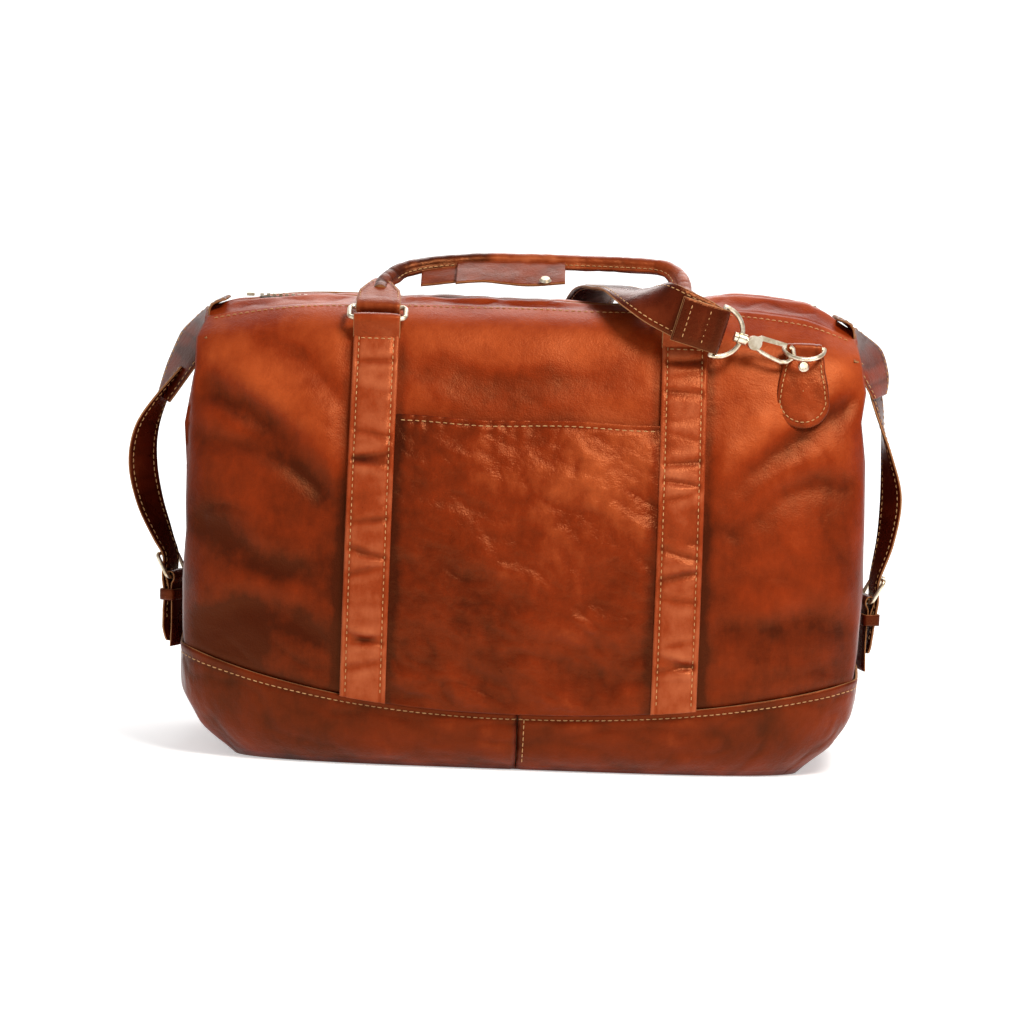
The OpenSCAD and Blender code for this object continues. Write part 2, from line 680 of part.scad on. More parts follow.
function side_across(side) = side == "left"
    ? [[0, 10, 0], [0, 10, 0], [-4, 9, 0], [-6, 8, 0], [-5, 8, 0], [-2, 10, 0], [0, 10, 0], [0, 10, 0],
        [0, 10, 0], [-1, 10, 0], [-2, 10, 0], [-3, 9, 0]]
    : [[0, 10, 0], [0, 10, 0], [1, 10, 0], [-2, 10, 0], [-5, 9, 0], [-3, 10, 0], [0, 10, 0], [0, 10, 0],
        [0, 10, 0], [0, 10, 0], [0, 10, 0], [0, 10, 0]];
side_widths = [25, 25, 25, 25, 25, 25, 25, 25, 25, 24, 18, 6];
side_t = 2.8;
function side_turn(side) = side == "left" ? 24 : 12;

// The buckle end is turned a little so that it faces forward
module on_end(side) {
    place_side(side) translate([282, 0, 0]) rotate([0, 0, side_turn(side)]) translate([-282, 0, 0]) children();
}
module zip_tongue(side) {
    route = smooth(tongue_route(side), 2);
    color(cognac) place_side(side)
    ribbon(route, [for (p = route) [0, 1, 0]], smooth(tongue_widths, 2), 2.6);
}
heel = [281.4, 0, 131];
frame_lean = 30;
frame_rise = 21;
side_wire = 3.4;
function turn_at(side, z) = side_turn(side) * min(1, max(0, (turn_top - z) / (turn_top - turn_low)));
function turned(v, a) = [v[0] * cos(a) - v[1] * sin(a), v[0] * sin(a) + v[1] * cos(a), v[2]];
turn_top = 292;
turn_low = 170;
pivot = [282, 0, 0];
module side_strap(side) {
    bare = smooth(side_route(side), 2);
    wide = smooth(side_across(side), 2);
    angles = [for (p = bare) turn_at(side, p[2])];
    color(mahogany) difference() {
        place_side(side) ribbon([for (i = [0:len(bare) - 1]) pivot + turned(bare[i] - pivot, angles[i])],
            [for (i = [0:len(bare) - 1]) turned(wide[i], angles[i])],
            smooth(side_widths, 2) * side_w / 25, side_t);
        on_end(side) translate([280, -2, 127]) cube([16, 4, 18]);
    }
}
module on_heel(side) {
    on_end(side) translate(heel) rotate([0, frame_lean, 0]) rotate([0, 0, 90]) children();
}
module side_buckle(side) {
    color(old_brass) on_heel(side) rect_ring(side_w / 2 + 3.4, frame_rise, side_wire);
}
module side_prong(side) {
    color(old_brass) on_heel(side) mirror([0, 1, 0]) prong(frame_rise + 3.4, side_wire);
}
module side_chape(side) {
    route = smooth([[279.6, 0, 76], [279, 0, 94], [279.4, 0, 110], [280.8, 0, 128]], 2);
    color(mahogany) on_end(side) difference() {
        union() {
            ribbon(route, [for (p = route) [0, 1, 0]], [for (p = route) side_w - 2], 3);
            translate(heel) rotate([90, 0, 0]) cylinder(r = 3.9, h = side_w - 2, center = true, $fn = 40);
        }
        translate(heel) rotate([90, 0, 0]) cylinder(d = side_wire + 0.16, h = 40, center = true, $fn = 40);
        translate(heel + [-6, -2.1, -6]) cube([14, 4.2, 14]);
    }
}
module side_keeper(side) {
    color(mahogany) on_end(side) translate([0, 0, 112]) linear_extrude(9) difference() {
        translate([276, -side_w / 2 - 2.4]) square([14, side_w + 4.8]);
        translate([277.6, -side_w / 2 - 0.8]) square([10.8, side_w + 1.6]);
    }
}

front_panel();
back_panel();
for (s = SIDES) {
    end_panel(s);
    base_band(s);
}
base_underside();
base_board();
lining_wall();  // lining_front
mirror([0, 1, 0]) lining_wall();  // lining_back
for (s = SIDES) place_side(s) lining_end();  // lining_ends
zip_facing();  // zip_facing_front
mirror([0, 1, 0]) zip_facing();  // zip_facing_back
zip_tapes();
zip_teeth(-1);  // zip_teeth_front
zip_teeth(1);  // zip_teeth_back
zip_end_stops();
zip_slider();
zip_puller();
front_pocket();
handle_strap(-strap_x);  // strap_front_left
handle_strap(strap_x);  // strap_front_right
mirror([0, 1, 0]) handle_strap(-strap_x);  // strap_back_left
mirror([0, 1, 0]) handle_strap(strap_x);  // strap_back_right
ring_loops();  // ring_loops_front
mirror([0, 1, 0]) ring_loops();  // ring_loops_back
rings_front();
rings_back();
handle_front();
handle_back();
handle_wrap();
wrap_stud_cap();
d_ring_tab_front();
d_ring_tab_back();
d_ring_front();
d_ring_back();
tab_rivets();
shoulder_strap_long();
shoulder_strap_short();
adjuster_buckle();
adjuster_prong();
adjuster_keepers();
hook_swivel_front();
hook_swivel_back();
hook_body_front();
hook_body_back();
hook_gate_front();
hook_gate_back();
for (s = SIDES) {
    zip_tongue(s);
    side_strap(s);
    side_buckle(s);
    side_prong(s);
    side_chape(s);
    side_keeper(s);
}
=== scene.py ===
# %% [markdown]
# # A leather weekender bag, dressed around a measured frame
# The frame holds the bag's real sizes, its joints and all its brass. This lesson sews the
# leather over it: panels that sag and crease, straps that pucker between their stitch rows,
# rolled handles and every stitch. All shop measures below are in millimetres, as a bag maker
# would write them, and are turned into metres only when a mesh is made.
# %% Load the frame
import json
import math

import bpy
import numpy as np
from mathutils import Matrix, Vector, noise


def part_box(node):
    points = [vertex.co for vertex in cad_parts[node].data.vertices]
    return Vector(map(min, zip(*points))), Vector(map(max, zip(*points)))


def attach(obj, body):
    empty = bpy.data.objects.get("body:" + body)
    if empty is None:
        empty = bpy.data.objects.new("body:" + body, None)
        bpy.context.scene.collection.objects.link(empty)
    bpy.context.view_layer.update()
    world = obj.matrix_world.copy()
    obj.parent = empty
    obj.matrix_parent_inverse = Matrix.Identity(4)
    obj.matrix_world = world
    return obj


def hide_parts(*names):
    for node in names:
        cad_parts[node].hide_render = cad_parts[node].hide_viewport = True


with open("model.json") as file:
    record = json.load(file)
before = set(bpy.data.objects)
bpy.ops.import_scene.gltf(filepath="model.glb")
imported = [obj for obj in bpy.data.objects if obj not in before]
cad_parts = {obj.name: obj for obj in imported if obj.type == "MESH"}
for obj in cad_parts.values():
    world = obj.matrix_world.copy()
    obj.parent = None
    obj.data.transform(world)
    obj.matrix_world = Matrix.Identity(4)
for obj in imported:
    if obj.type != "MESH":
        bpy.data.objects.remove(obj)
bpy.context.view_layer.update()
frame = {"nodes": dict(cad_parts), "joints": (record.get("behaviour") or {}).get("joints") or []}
MM = 0.001

# %% [markdown]
# ## Camera, floor and light
# A bag is photographed from a little above its own middle with a long lens, so that its sides
# stay parallel. The lens could be short and close, but then the handles would swell. The light
# is a wide soft box over the front right shoulder of the camera, with a paler one from the left.
# %% Camera
CAMERA_AZIMUTH = 0.0
CAMERA_HEIGHT = 6.0
CAMERA_DISTANCE = 3.0
CAMERA_ROLL = 2.1
VIEW_WIDTH = 0.835
SUBJECT = Vector((-0.010, 0.0, 0.193))

scene = bpy.context.scene
turn = math.radians(CAMERA_AZIMUTH)
rise = math.radians(CAMERA_HEIGHT)
outward = Vector((math.sin(turn) * math.cos(rise), -math.cos(turn) * math.cos(rise), math.sin(rise)))
camera_data = bpy.data.cameras.new("camera")
camera_data.sensor_width = 36.0
camera_data.lens = 36.0 * CAMERA_DISTANCE / VIEW_WIDTH
camera = bpy.data.objects.new("camera", camera_data)
scene.collection.objects.link(camera)
aim = (-outward).to_track_quat("-Z", "Y").to_matrix().to_4x4()
camera.matrix_world = (
    Matrix.Translation(SUBJECT + outward * CAMERA_DISTANCE)
    @ aim
    @ Matrix.Rotation(math.radians(CAMERA_ROLL), 4, "Z")
)
scene.camera = camera
print("lens", round(camera_data.lens, 1), "mm")


# %% Lights, world and colour
def soft_box(name, place, size, watts, tint=(1.0, 1.0, 1.0)):
    """A square area lamp that looks at the middle of the bag."""
    data = bpy.data.lights.new(name, "AREA")
    data.shape = "SQUARE"
    data.size = size
    data.energy = watts
    data.color = tint
    lamp = bpy.data.objects.new(name, data)
    scene.collection.objects.link(lamp)
    lamp.location = place
    lamp.rotation_euler = (SUBJECT - Vector(place)).to_track_quat("-Z", "Y").to_euler()
    return lamp


soft_box("key_softbox", (0.75, -1.1, 1.75), 0.7, 40.0, (1.0, 0.96, 0.91))
soft_box("fill_softbox", (-1.6, -1.5, 0.9), 1.2, 3.5)
soft_box("back_softbox", (0.2, 1.6, 1.6), 1.4, 16.0)
world = bpy.data.worlds.new("studio")
world.use_nodes = True
world.node_tree.nodes["Background"].inputs["Color"].default_value = (1.0, 1.0, 1.0, 1.0)
world.node_tree.nodes["Background"].inputs["Strength"].default_value = 0.36
scene.world = world
scene.view_settings.view_transform = "Standard"
scene.view_settings.look = "None"

# %% [markdown]
# ## Finishes
# Waxed leather is not one brown. Creases get painted shade and raised folds a painted highlight,
# the grain breaks the shine into small sparks, and a thin wax coat lies over it. Each leather here
# mixes three dye tones by slow noise, shifts them by the relief stored in each point (painted shade
# and highlight) and by a stored tone, and takes its grain from fine cells. An image could hold this
# too, but noise has no seams and holds at any distance.
# %% Node helpers
def new_material(name):
    material = bpy.data.materials.new(name)
    material.use_nodes = True
    tree = material.node_tree
    return material, tree, tree.nodes["Principled BSDF"]


def add_node(tree, kind, **settings):
    node = tree.nodes.new(kind)
    for key, value in settings.items():
        if key in node.inputs:
            node.inputs[key].default_value = value
        else:
            setattr(node, key, value)
    return node


def noise_node(tree, coordinates, scale, detail=3.0, rough=0.55, stretch=None):
    """Noise over the object's own metres, stretched along an axis if asked."""
    source = coordinates
    if stretch:
        mapping = add_node(tree, "ShaderNodeMapping")
        mapping.inputs["Scale"].default_value = stretch
        tree.links.new(coordinates, mapping.inputs["Vector"])
        source = mapping.outputs["Vector"]
    node = add_node(tree, "ShaderNodeTexNoise", Scale=scale, Detail=detail, Roughness=rough)
    tree.links.new(source, node.inputs["Vector"])
    return node.outputs["Fac"]


def sum_node(tree, *terms):
    """Adds sockets, each with its own weight, given as (socket, weight) pairs."""
    total = None
    for socket, weight in terms:
        scaled = add_node(tree, "ShaderNodeMath", operation="MULTIPLY_ADD")
        tree.links.new(socket, scaled.inputs[0])
        scaled.inputs[1].default_value = weight
        if total is None:
            scaled.inputs[2].default_value = 0.0
        else:
            tree.links.new(total, scaled.inputs[2])
        total = scaled.outputs[0]
    return total


def ramp_node(tree, factor, stops):
    node = add_node(tree, "ShaderNodeValToRGB")
    band = node.color_ramp
    while len(band.elements) < len(stops):
        band.elements.new(0.5)
    for element, (place, colour) in zip(band.elements, stops):
        element.position = place
        element.color = (*colour, 1.0)
    tree.links.new(factor, node.inputs["Fac"])
    return node.outputs["Color"]


# %% Leather
# Amber wax over the dye warms whatever the leather mirrors
WAX = (1.0, 0.34, 0.12)


def leather(name, dark, mid, light, shine=0.42, grain=0.25, mottle=1.0, crackle=0.0):
    """Waxed leather: painted shade in creases, painted highlight on raised folds, with a fine cell grain.
    """
    material, tree, shader = new_material(name)
    place = add_node(tree, "ShaderNodeTexCoord").outputs["Object"]
    relief = add_node(tree, "ShaderNodeAttribute", attribute_name="relief").outputs["Fac"]
    tone = add_node(tree, "ShaderNodeAttribute", attribute_name="tone").outputs["Fac"]
    cloud = noise_node(tree, place, 9.0, 4.0, 0.6)
    patch = noise_node(tree, place, 34.0, 5.0, 0.65)
    scuff = noise_node(tree, place, 120.0, 3.0, 0.7, stretch=(1.0, 1.0, 0.45))
    # The relief attribute paints shade into creases and a highlight onto raised folds; the tone attribute
    # adds painted shade and highlight laid per point on each piece.
    mix = sum_node(
        tree, (cloud, 0.55 * mottle), (patch, 0.34 * mottle), (scuff, 0.20), (relief, 0.20), (tone, 1.0)
    )
    offset = add_node(tree, "ShaderNodeMath", operation="SUBTRACT")
    tree.links.new(mix, offset.inputs[0])
    offset.inputs[1].default_value = 0.5 * (0.55 * mottle + 0.34 * mottle + 0.20) - 0.5
    colour = ramp_node(tree, offset.outputs[0], [(0.18, dark), (0.5, mid), (0.86, light)])
    tree.links.new(colour, shader.inputs["Base Color"])
    rough = add_node(tree, "ShaderNodeMapRange")
    rough.inputs["To Min"].default_value = shine - 0.08
    rough.inputs["To Max"].default_value = shine + 0.16
    tree.links.new(patch, rough.inputs["Value"])
    tree.links.new(rough.outputs["Result"], shader.inputs["Roughness"])
    shader.inputs["Specular IOR Level"].default_value = 0.5
    shader.inputs["Specular Tint"].default_value = (*WAX, 1.0)
    cells = add_node(tree, "ShaderNodeTexVoronoi", Scale=780.0)
    tree.links.new(place, cells.inputs["Vector"])
    fine = noise_node(tree, place, 260.0, 4.0, 0.7)
    wrinkle = noise_node(tree, place, 62.0, 5.0, 0.75, stretch=(1.0, 1.0, 1.5))
    height = sum_node(tree, (cells.outputs["Distance"], 0.25), (fine, 0.7), (wrinkle, 1.2 + crackle))
    bump = add_node(tree, "ShaderNodeBump", Strength=grain, Distance=0.0016)
    tree.links.new(height, bump.inputs["Height"])
    tree.links.new(bump.outputs["Normal"], shader.inputs["Normal"])
    return material


# Dark and light stops: reached by the dye's own mottle, and also by painted shade and painted highlight.
DARK_DYE_AND_SHADE = (0.038, 0.0030, 0.0007)
COGNAC = (0.205, 0.0195, 0.0026)
RUBBED_AND_LIT = (0.420, 0.070, 0.0150)
shell_leather = leather("shell_leather", DARK_DYE_AND_SHADE, COGNAC, RUBBED_AND_LIT, shine=0.36)
pocket_leather = leather("pocket_leather", (0.034, 0.0026, 0.0007), (0.175, 0.0165, 0.0024),
                         (0.43, 0.082, 0.020),
                         shine=0.28, grain=0.34, mottle=0.7, crackle=0.9)
band_leather = leather("band_leather", (0.034, 0.003, 0.0008), (0.135, 0.0125, 0.0018),
                       (0.34, 0.055, 0.012), shine=0.33)
strap_leather = leather("strap_leather", (0.045, 0.004, 0.0012), (0.25, 0.033, 0.0075), (0.54, 0.15, 0.060),
                        shine=0.27)
grip_leather = leather("grip_leather", (0.036, 0.004, 0.0012), (0.20, 0.030, 0.0070), (0.45, 0.12, 0.045),
                       shine=0.28)
dark_leather = leather("dark_leather", (0.018, 0.002, 0.001), (0.060, 0.006, 0.0018), (0.19, 0.030, 0.009),
                       shine=0.24)
raw_edge = leather("raw_edge", (0.12, 0.045, 0.015), (0.34, 0.15, 0.06), (0.55, 0.30, 0.14), shine=0.6,
                   grain=0.4)
print("leathers made")


# %% Brass, thread, cloth and board
def metal(name, dark, light, shine):
    """Old brass: bright where it is rubbed, browner in a slow patina, with fine scratches."""
    material, tree, shader = new_material(name)
    place = add_node(tree, "ShaderNodeTexCoord").outputs["Object"]
    patina = noise_node(tree, place, 160.0, 4.0, 0.6)
    colour = ramp_node(tree, patina, [(0.3, dark), (0.62, light)])
    tree.links.new(colour, shader.inputs["Base Color"])
    shader.inputs["Metallic"].default_value = 1.0
    rough = add_node(tree, "ShaderNodeMapRange")
    rough.inputs["To Min"].default_value = shine
    rough.inputs["To Max"].default_value = shine + 0.2
    tree.links.new(patina, rough.inputs["Value"])
    tree.links.new(rough.outputs["Result"], shader.inputs["Roughness"])
    scratch = noise_node(tree, place, 900.0, 2.0, 0.5)
    bump = add_node(tree, "ShaderNodeBump", Strength=0.12, Distance=0.0004)
    tree.links.new(scratch, bump.inputs["Height"])
    tree.links.new(bump.outputs["Normal"], shader.inputs["Normal"])
    return material


def cloth(name, dark, light, thread_scale, rough):
    """Woven cloth: two sets of threads that cross, and a slow change of colour."""
    material, tree, shader = new_material(name)
    place = add_node(tree, "ShaderNodeTexCoord").outputs["Object"]
    threads = []
    for axis in ("X", "Z"):
        wave = add_node(tree, "ShaderNodeTexWave", wave_type="BANDS", bands_direction=axis,
                        Scale=thread_scale)
        wave.inputs["Distortion"].default_value = 0.6
        tree.links.new(place, wave.inputs["Vector"])
        threads.append((wave.outputs["Fac"], 0.5))
    patch = noise_node(tree, place, 40.0, 3.0)
    mix = sum_node(tree, (patch, 0.7), (threads[0][0], 0.15), (threads[1][0], 0.15))
    tree.links.new(ramp_node(tree, mix, [(0.3, dark), (0.7, light)]), shader.inputs["Base Color"])
    shader.inputs["Roughness"].default_value = rough
    shader.inputs["Sheen Weight"].default_value = 0.2
    bump = add_node(tree, "ShaderNodeBump", Strength=0.4, Distance=0.0004)
    tree.links.new(sum_node(tree, *threads), bump.inputs["Height"])
    tree.links.new(bump.outputs["Normal"], shader.inputs["Normal"])
    return material


old_brass = metal("old_brass", (0.50, 0.36, 0.20), (0.86, 0.77, 0.62), 0.24)
thread = cloth("waxed_thread", (0.40, 0.17, 0.045), (0.66, 0.36, 0.13), 700.0, 0.6)
khaki_lining = cloth("khaki_lining", (0.20, 0.16, 0.09), (0.38, 0.32, 0.21), 420.0, 0.9)
tape_cloth = cloth("tape_cloth", (0.02, 0.012, 0.008), (0.06, 0.035, 0.022), 500.0, 0.85)
board = cloth("fibre_board", (0.12, 0.09, 0.06), (0.2, 0.16, 0.11), 60.0, 0.95)
print("metals and cloths made")

# %% [markdown]
# ## The floor
# A pale paper sweep catches the bag's own soft shadow and rises behind it without a line. It is
# part of the studio and not of the bag.
# %% Floor
floor_mesh = bpy.data.meshes.new("floor")
reach = 5.0
bend = 1.0
profile = [(-4.0, 0.0)] + [(1.6 + bend * math.sin(a), bend * (1 - math.cos(a)))
                           for a in np.linspace(0, math.pi / 2, 13)]
profile.append((1.6 + bend, 4.0))
floor_points = [(x, y, z) for y, z in profile for x in (-reach, reach)]
floor_faces = [(2 * k, 2 * k + 1, 2 * k + 3, 2 * k + 2) for k in range(len(profile) - 1)]
floor_mesh.from_pydata(floor_points, [], floor_faces)
floor_mesh.polygons.foreach_set("use_smooth", [True] * len(floor_mesh.polygons))
floor = bpy.data.objects.new("floor", floor_mesh)
scene.collection.objects.link(floor)
floor_paint, floor_tree, floor_shader = new_material("floor_paint")
floor_place = add_node(floor_tree, "ShaderNodeTexCoord").outputs["Object"]
floor_tint = ramp_node(floor_tree, noise_node(floor_tree, floor_place, 3.0),
                       [(0.3, (0.86,) * 3), (0.7, (0.9,) * 3)])
floor_tree.links.new(floor_tint, floor_shader.inputs["Base Color"])
floor_shader.inputs["Roughness"].default_value = 0.8
floor_shader.inputs["Emission Color"].default_value = (1.0, 1.0, 1.0, 1.0)
floor_shader.inputs["Emission Strength"].default_value = 0.45
floor_mesh.materials.append(floor_paint)

# %% [markdown]
# ## The shape of the bag
# A bag is lofted from its plan at each height: how long it is, how deep, where the "ear"
# corners stand and how far the ends fold in. The same stations drive the frame, so leather
# made from them lies on the frame; only the band's seam runs a little higher. A box with bent
# corners would be quicker, but every fold and seam below needs to know where the surface is.
# %% Stations
HALF_LEN = 270.0
HALF_DEPTH = 130.0
BAND_H = 46.0
BAND_RISE = 32.0
LEFT_RISE = 42.0
ZIP_Z = 364.0
STRAP_X = 122.0
# The panels go on over the shoulder for this share of the way to the zip
PANEL_TURN = 0.52
# The right half of the bag is packed this much higher
FULLER = 10.0


def station(z, table, soften=16.0):
    """A measure at a height, from a short table whose corners are rounded off."""
    heights, values = zip(*table)
    shifts = np.linspace(-soften, soften, 9)
    return sum(np.interp(np.asarray(z, float) + s, heights, values) for s in shifts) / len(shifts)


def half_length(z):
    return HALF_LEN + station(z, [(0, -48), (10, -36), (24, -20), (46, -7), (75, -2), (200, 0), (350, -2)],
                              4.0)


def half_depth(z):
    return HALF_DEPTH + station(
        z, [(0, -18), (12, -9), (30, -4), (60, -1), (120, 0), (180, -6), (240, -18), (300, -38), (330, -51),
            (352, -61)],
        5.0)


def ear(z):
    return station(z, [(0, 78), (60, 86), (120, 88), (200, 82), (300, 62), (352, 46)], 8.0)


def end_fold(z):
    return station(z, [(0, -12), (60, -10), (110, 0), (200, 16), (280, 34), (352, 44)], 12.0)


def ease(a, b, v):
    f = np.clip((v - a) / (b - a), 0, 1)
    return f * f * (3 - 2 * f)


def share(x):
    return np.minimum(1.0, np.abs(x) / HALF_LEN)


def seam_z(x):
    return BAND_H + np.where(x < 0, LEFT_RISE, BAND_RISE) * share(x) ** 2.2


def top_z(x):
    return 352.0 - 20.0 * share(x) ** 2.5


def crest_z(x):
    return ZIP_Z - 16.0 * share(x) ** 5


def front_depth(x, z):
    q = np.minimum(1.0, np.abs(x) / half_length(z))
    return ear(z) + (half_depth(z) - ear(z)) * np.sqrt(np.maximum(0.0, 1.0 - q ** 4))


def shoulder(x, t):
    """Depth and height on the rolled shoulder: t is 0 at the top of a panel and 1 at the zip."""
    outer = front_depth(x, top_z(x)) + 0.6
    low = top_z(x) - 0.5
    round_off = 0.9 + 0.7 * share(x) ** 6
    z = low + (crest_z(x) - low) * np.sin(math.pi / 2 * t) ** round_off
    return outer + (9.6 - outer) * t, z + FULLER * ease(40, 190, x) * ease(262, 215, x) * ease(0.1, 0.8, t)


print("depth at mid height", round(float(front_depth(0.0, 150.0)), 1))


# %% Noise and folds
def ripple(x, y, z, size, seed):
    """Smooth noise between about -1 and 1, with bumps about one size across."""
    flat = np.broadcast_arrays(np.asarray(x, float), np.asarray(y, float), np.asarray(z, float))
    points = np.stack([a.ravel() for a in flat], 1) / size + seed * 7.31
    return np.array([noise.noise(Vector(p)) for p in points]).reshape(flat[0].shape)


def creases(x, y, z, size, seed, sharp=2.0):
    """Narrow valleys between broad pads, as in leather that has been folded and opened."""
    return -((1.0 - np.abs(ripple(x, y, z, size, seed))) ** (4.0 * sharp))


def catmull(points, steps):
    """A smooth line through a few points."""
    p = np.asarray(points, float)
    q = np.vstack([p[:1], p, p[-1:]])
    line = []
    for i in range(len(p) - 1):
        a, b, c, d = q[i:i + 4]
        for f in np.arange(steps) / steps:
            line.append(0.5 * (2 * b + (c - a) * f + (2 * a - 5 * b + 4 * c - d) * f ** 2
                               + (3 * b - 3 * c + d - a) * f ** 3))
    return np.vstack([line, p[-1:]])


def fold(x, z, route, depth, width, lip=0.7):
    """A soft valley along a route, with a raised lip on its upper side."""
    line = catmull(route, 8)
    best = np.full(x.shape, 1e9)
    signed = np.zeros(x.shape)
    travel = np.zeros(x.shape)
    for i in range(len(line) - 1):
        a, b = line[i], line[i + 1]
        step = b - a
        f = np.clip(((x - a[0]) * step[0] + (z - a[1]) * step[1]) / (step @ step), 0, 1)
        dx, dz = x - a[0] - f * step[0], z - a[1] - f * step[1]
        distance = np.hypot(dx, dz)
        side = np.sign(step[0] * dz - step[1] * dx) * (1 if step[0] > 0 else -1)
        nearer = distance < best
        best = np.where(nearer, distance, best)
        signed = np.where(nearer, side * distance, signed)
        travel = np.where(nearer, (i + f) / (len(line) - 1), travel)
    fade = np.sin(math.pi * np.clip(0.12 + 0.88 * travel, 0, 1)) ** 0.6
    valley = -np.exp(-(signed / width) ** 2)
    crown = lip * np.exp(-((signed - 1.9 * width) / (1.5 * width)) ** 2)
    return depth * fade * (valley + crown)


# %% Sheets of leather
def grid_normals(p):
    du = np.gradient(p, axis=1)
    dv = np.gradient(p, axis=0)
    n = np.cross(du, dv)
    return n / np.maximum(np.linalg.norm(n, axis=2, keepdims=True), 1e-9)


def link(mesh, name, materials):
    obj = bpy.data.objects.new(name, mesh)
    scene.collection.objects.link(obj)
    for material in materials:
        mesh.materials.append(material)
    mesh.polygons.foreach_set("use_smooth", [True] * len(mesh.polygons))
    return obj


def store(mesh, name, values):
    layer = mesh.attributes.new(name, "FLOAT", "POINT")
    layer.data.foreach_set("value", np.asarray(values, dtype=np.float32))


def sheet_mesh(name, face, thick, materials, relief=None, tone=0.0):
    """Closed sheet: a grid face (its normals point outwards), a back one thickness in, and rims."""
    rows, cols = face.shape[:2]
    back = face - grid_normals(face) * thick
    points = np.vstack([face.reshape(-1, 3), back.reshape(-1, 3)]) * MM
    size = rows * cols
    index = np.arange(size).reshape(rows, cols)
    quads = np.stack([index[:-1, :-1], index[:-1, 1:], index[1:, 1:], index[1:, :-1]], -1).reshape(-1, 4)
    border = np.concatenate([index[0, :], index[1:, -1], index[-1, -2::-1], index[-2:0:-1, 0]])
    after = np.roll(border, -1)
    rim = np.stack([after, border, border + size, after + size], -1)
    mesh = bpy.data.meshes.new(name)
    mesh.from_pydata(points.tolist(), [], np.vstack([quads, quads[:, ::-1] + size, rim]).tolist())
    obj = link(mesh, name, materials)
    rim_slot = min(1, len(materials) - 1)
    slots = [0] * (2 * len(quads)) + [rim_slot] * len(rim)
    mesh.polygons.foreach_set("material_index", slots)
    values = np.zeros(size) if relief is None else np.asarray(relief).ravel()
    store(mesh, "relief", np.concatenate([values, values]))
    tones = np.broadcast_to(np.asarray(tone, float), (rows, cols)).ravel()
    store(mesh, "tone", np.concatenate([tones, tones]))
    mesh.update()
    return obj


def finish_piece(obj, body, slot, *nodes):
    """Puts a piece on its body and takes the place of the frame's plain solids."""
    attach(obj, body)
    if nodes:
        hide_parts(*nodes)
    return obj


def to_relief(height, size=1.0):
    return np.clip(height / size, -1.5, 1.5)


# %% [markdown]
# ## Front and back panels
# The front is one piece of hide, wider than it needs to be. Its upper corners are pulled out by
# the folded ends, so long soft folds run from each ear down towards the middle, and the edge
# itself waves in and out. A cloth simulation of the whole shell gives folds too, but never the
# ones that years of packing set in, so they are laid along given routes.
# %% Folds of the panels
FRONT_FOLDS = [
    ([(-268, 300), (-217, 274), (-185, 250), (-150, 213)], 5.0, 13.0),
    ([(-262, 256), (-220, 247), (-185, 232), (-148, 206)], 2.6, 9.0),
    ([(-266, 190), (-235, 180), (-205, 160), (-160, 150)], 2.2, 12.0),
    ([(268, 304), (234, 288), (208, 266), (147, 217)], 5.0, 12.0),
    ([(266, 232), (230, 236), (196, 222), (160, 190)], 2.4, 12.0),
    ([(262, 120), (225, 128), (190, 118), (150, 122)], 1.8, 12.0),
    ([(-250, 110), (-215, 122), (-180, 116), (-150, 96)], 2.0, 12.0),
    ([(-95, 318), (-40, 306), (30, 308), (90, 318)], 2.2, 14.0),
    ([(-210, 336), (-180, 322), (-160, 300), (-148, 282)], 1.8, 9.0),
]
BACK_FOLDS = [
    ([(-266, 286), (-220, 268), (-190, 240), (-150, 205)], 4.2, 13.0),
    ([(266, 296), (228, 270), (196, 250), (150, 222)], 4.6, 12.0),
    ([(-100, 250), (-40, 238), (40, 246), (96, 262)], 2.2, 16.0),
    ([(-90, 130), (-30, 142), (50, 128), (100, 140)], 2.4, 15.0),
    ([(255, 150), (220, 140), (185, 150), (150, 130)], 2.0, 12.0),
]


def panel_relief(x, z, folds, seed, way=1):
    """How far the hide stands off the lofted surface, and how much of it is small relief."""
    broad = 2.8 * ripple(x, 0, z, 95.0, seed) + 2.0 * ripple(x, 0, z, 44.0, seed + 1)
    small = 0.5 * ripple(x, 0, z * 1.4, 17.0, seed + 2)
    creased = ease(-0.3, 0.5, ripple(x, 0, z, 70.0, seed + 4))
    lines = 0.9 * creases(x * 0.9 + 0.35 * z, 0, z + 0.3 * x, 40.0, seed + 3) * creased
    laid = 1.3 * sum(fold(x, z, route, depth, width) for route, depth, width in folds)
    # The hide is held flat where it is sewn in at the base and at the top
    held = ease(0, 16, z - seam_z(x * way)) * (1 - 0.7 * ease(14, 0, top_z(x) - z))
    # Straps and pocket are sewn over the hide and press it flat
    behind_pocket = ease(STRAP_X, 118, np.abs(x)) * ease(292, 276, z)
    pressed = ease(18, 36, np.abs(np.abs(x) - STRAP_X)) * (1 - 0.9 * behind_pocket)
    # The teardrop tab lies flat on its place
    under_tab = np.exp(-(((x - 216) / 31) ** 2 + ((z - 306) / 42) ** 2) ** 2)
    height = (broad + small + lines + laid) * held * pressed * (1 - under_tab)
    sewn = -1.6 * np.exp(-((z - seam_z(x * way)) / 5.0) ** 2)
    return height + sewn, small + lines + 0.6 * laid + 0.5 * sewn


def edge_wave(x, z, left, right):
    """How the two upright edges wander in and out of a straight line."""
    out = np.where(x < 0, np.interp(z, *zip(*left)), np.interp(z, *zip(*right)))
    return out * ease(0.72, 1.0, share(x)) * np.sign(x)


FRONT_LEFT = [(65, -3), (100, 2), (140, 3), (180, 0), (225, 2), (262, 6), (285, 3), (305, 0), (340, 1)]
FRONT_RIGHT = [(65, -2), (100, 2), (150, 4), (200, 2), (250, 2), (282, -2), (305, 2), (325, -1), (345, -4)]


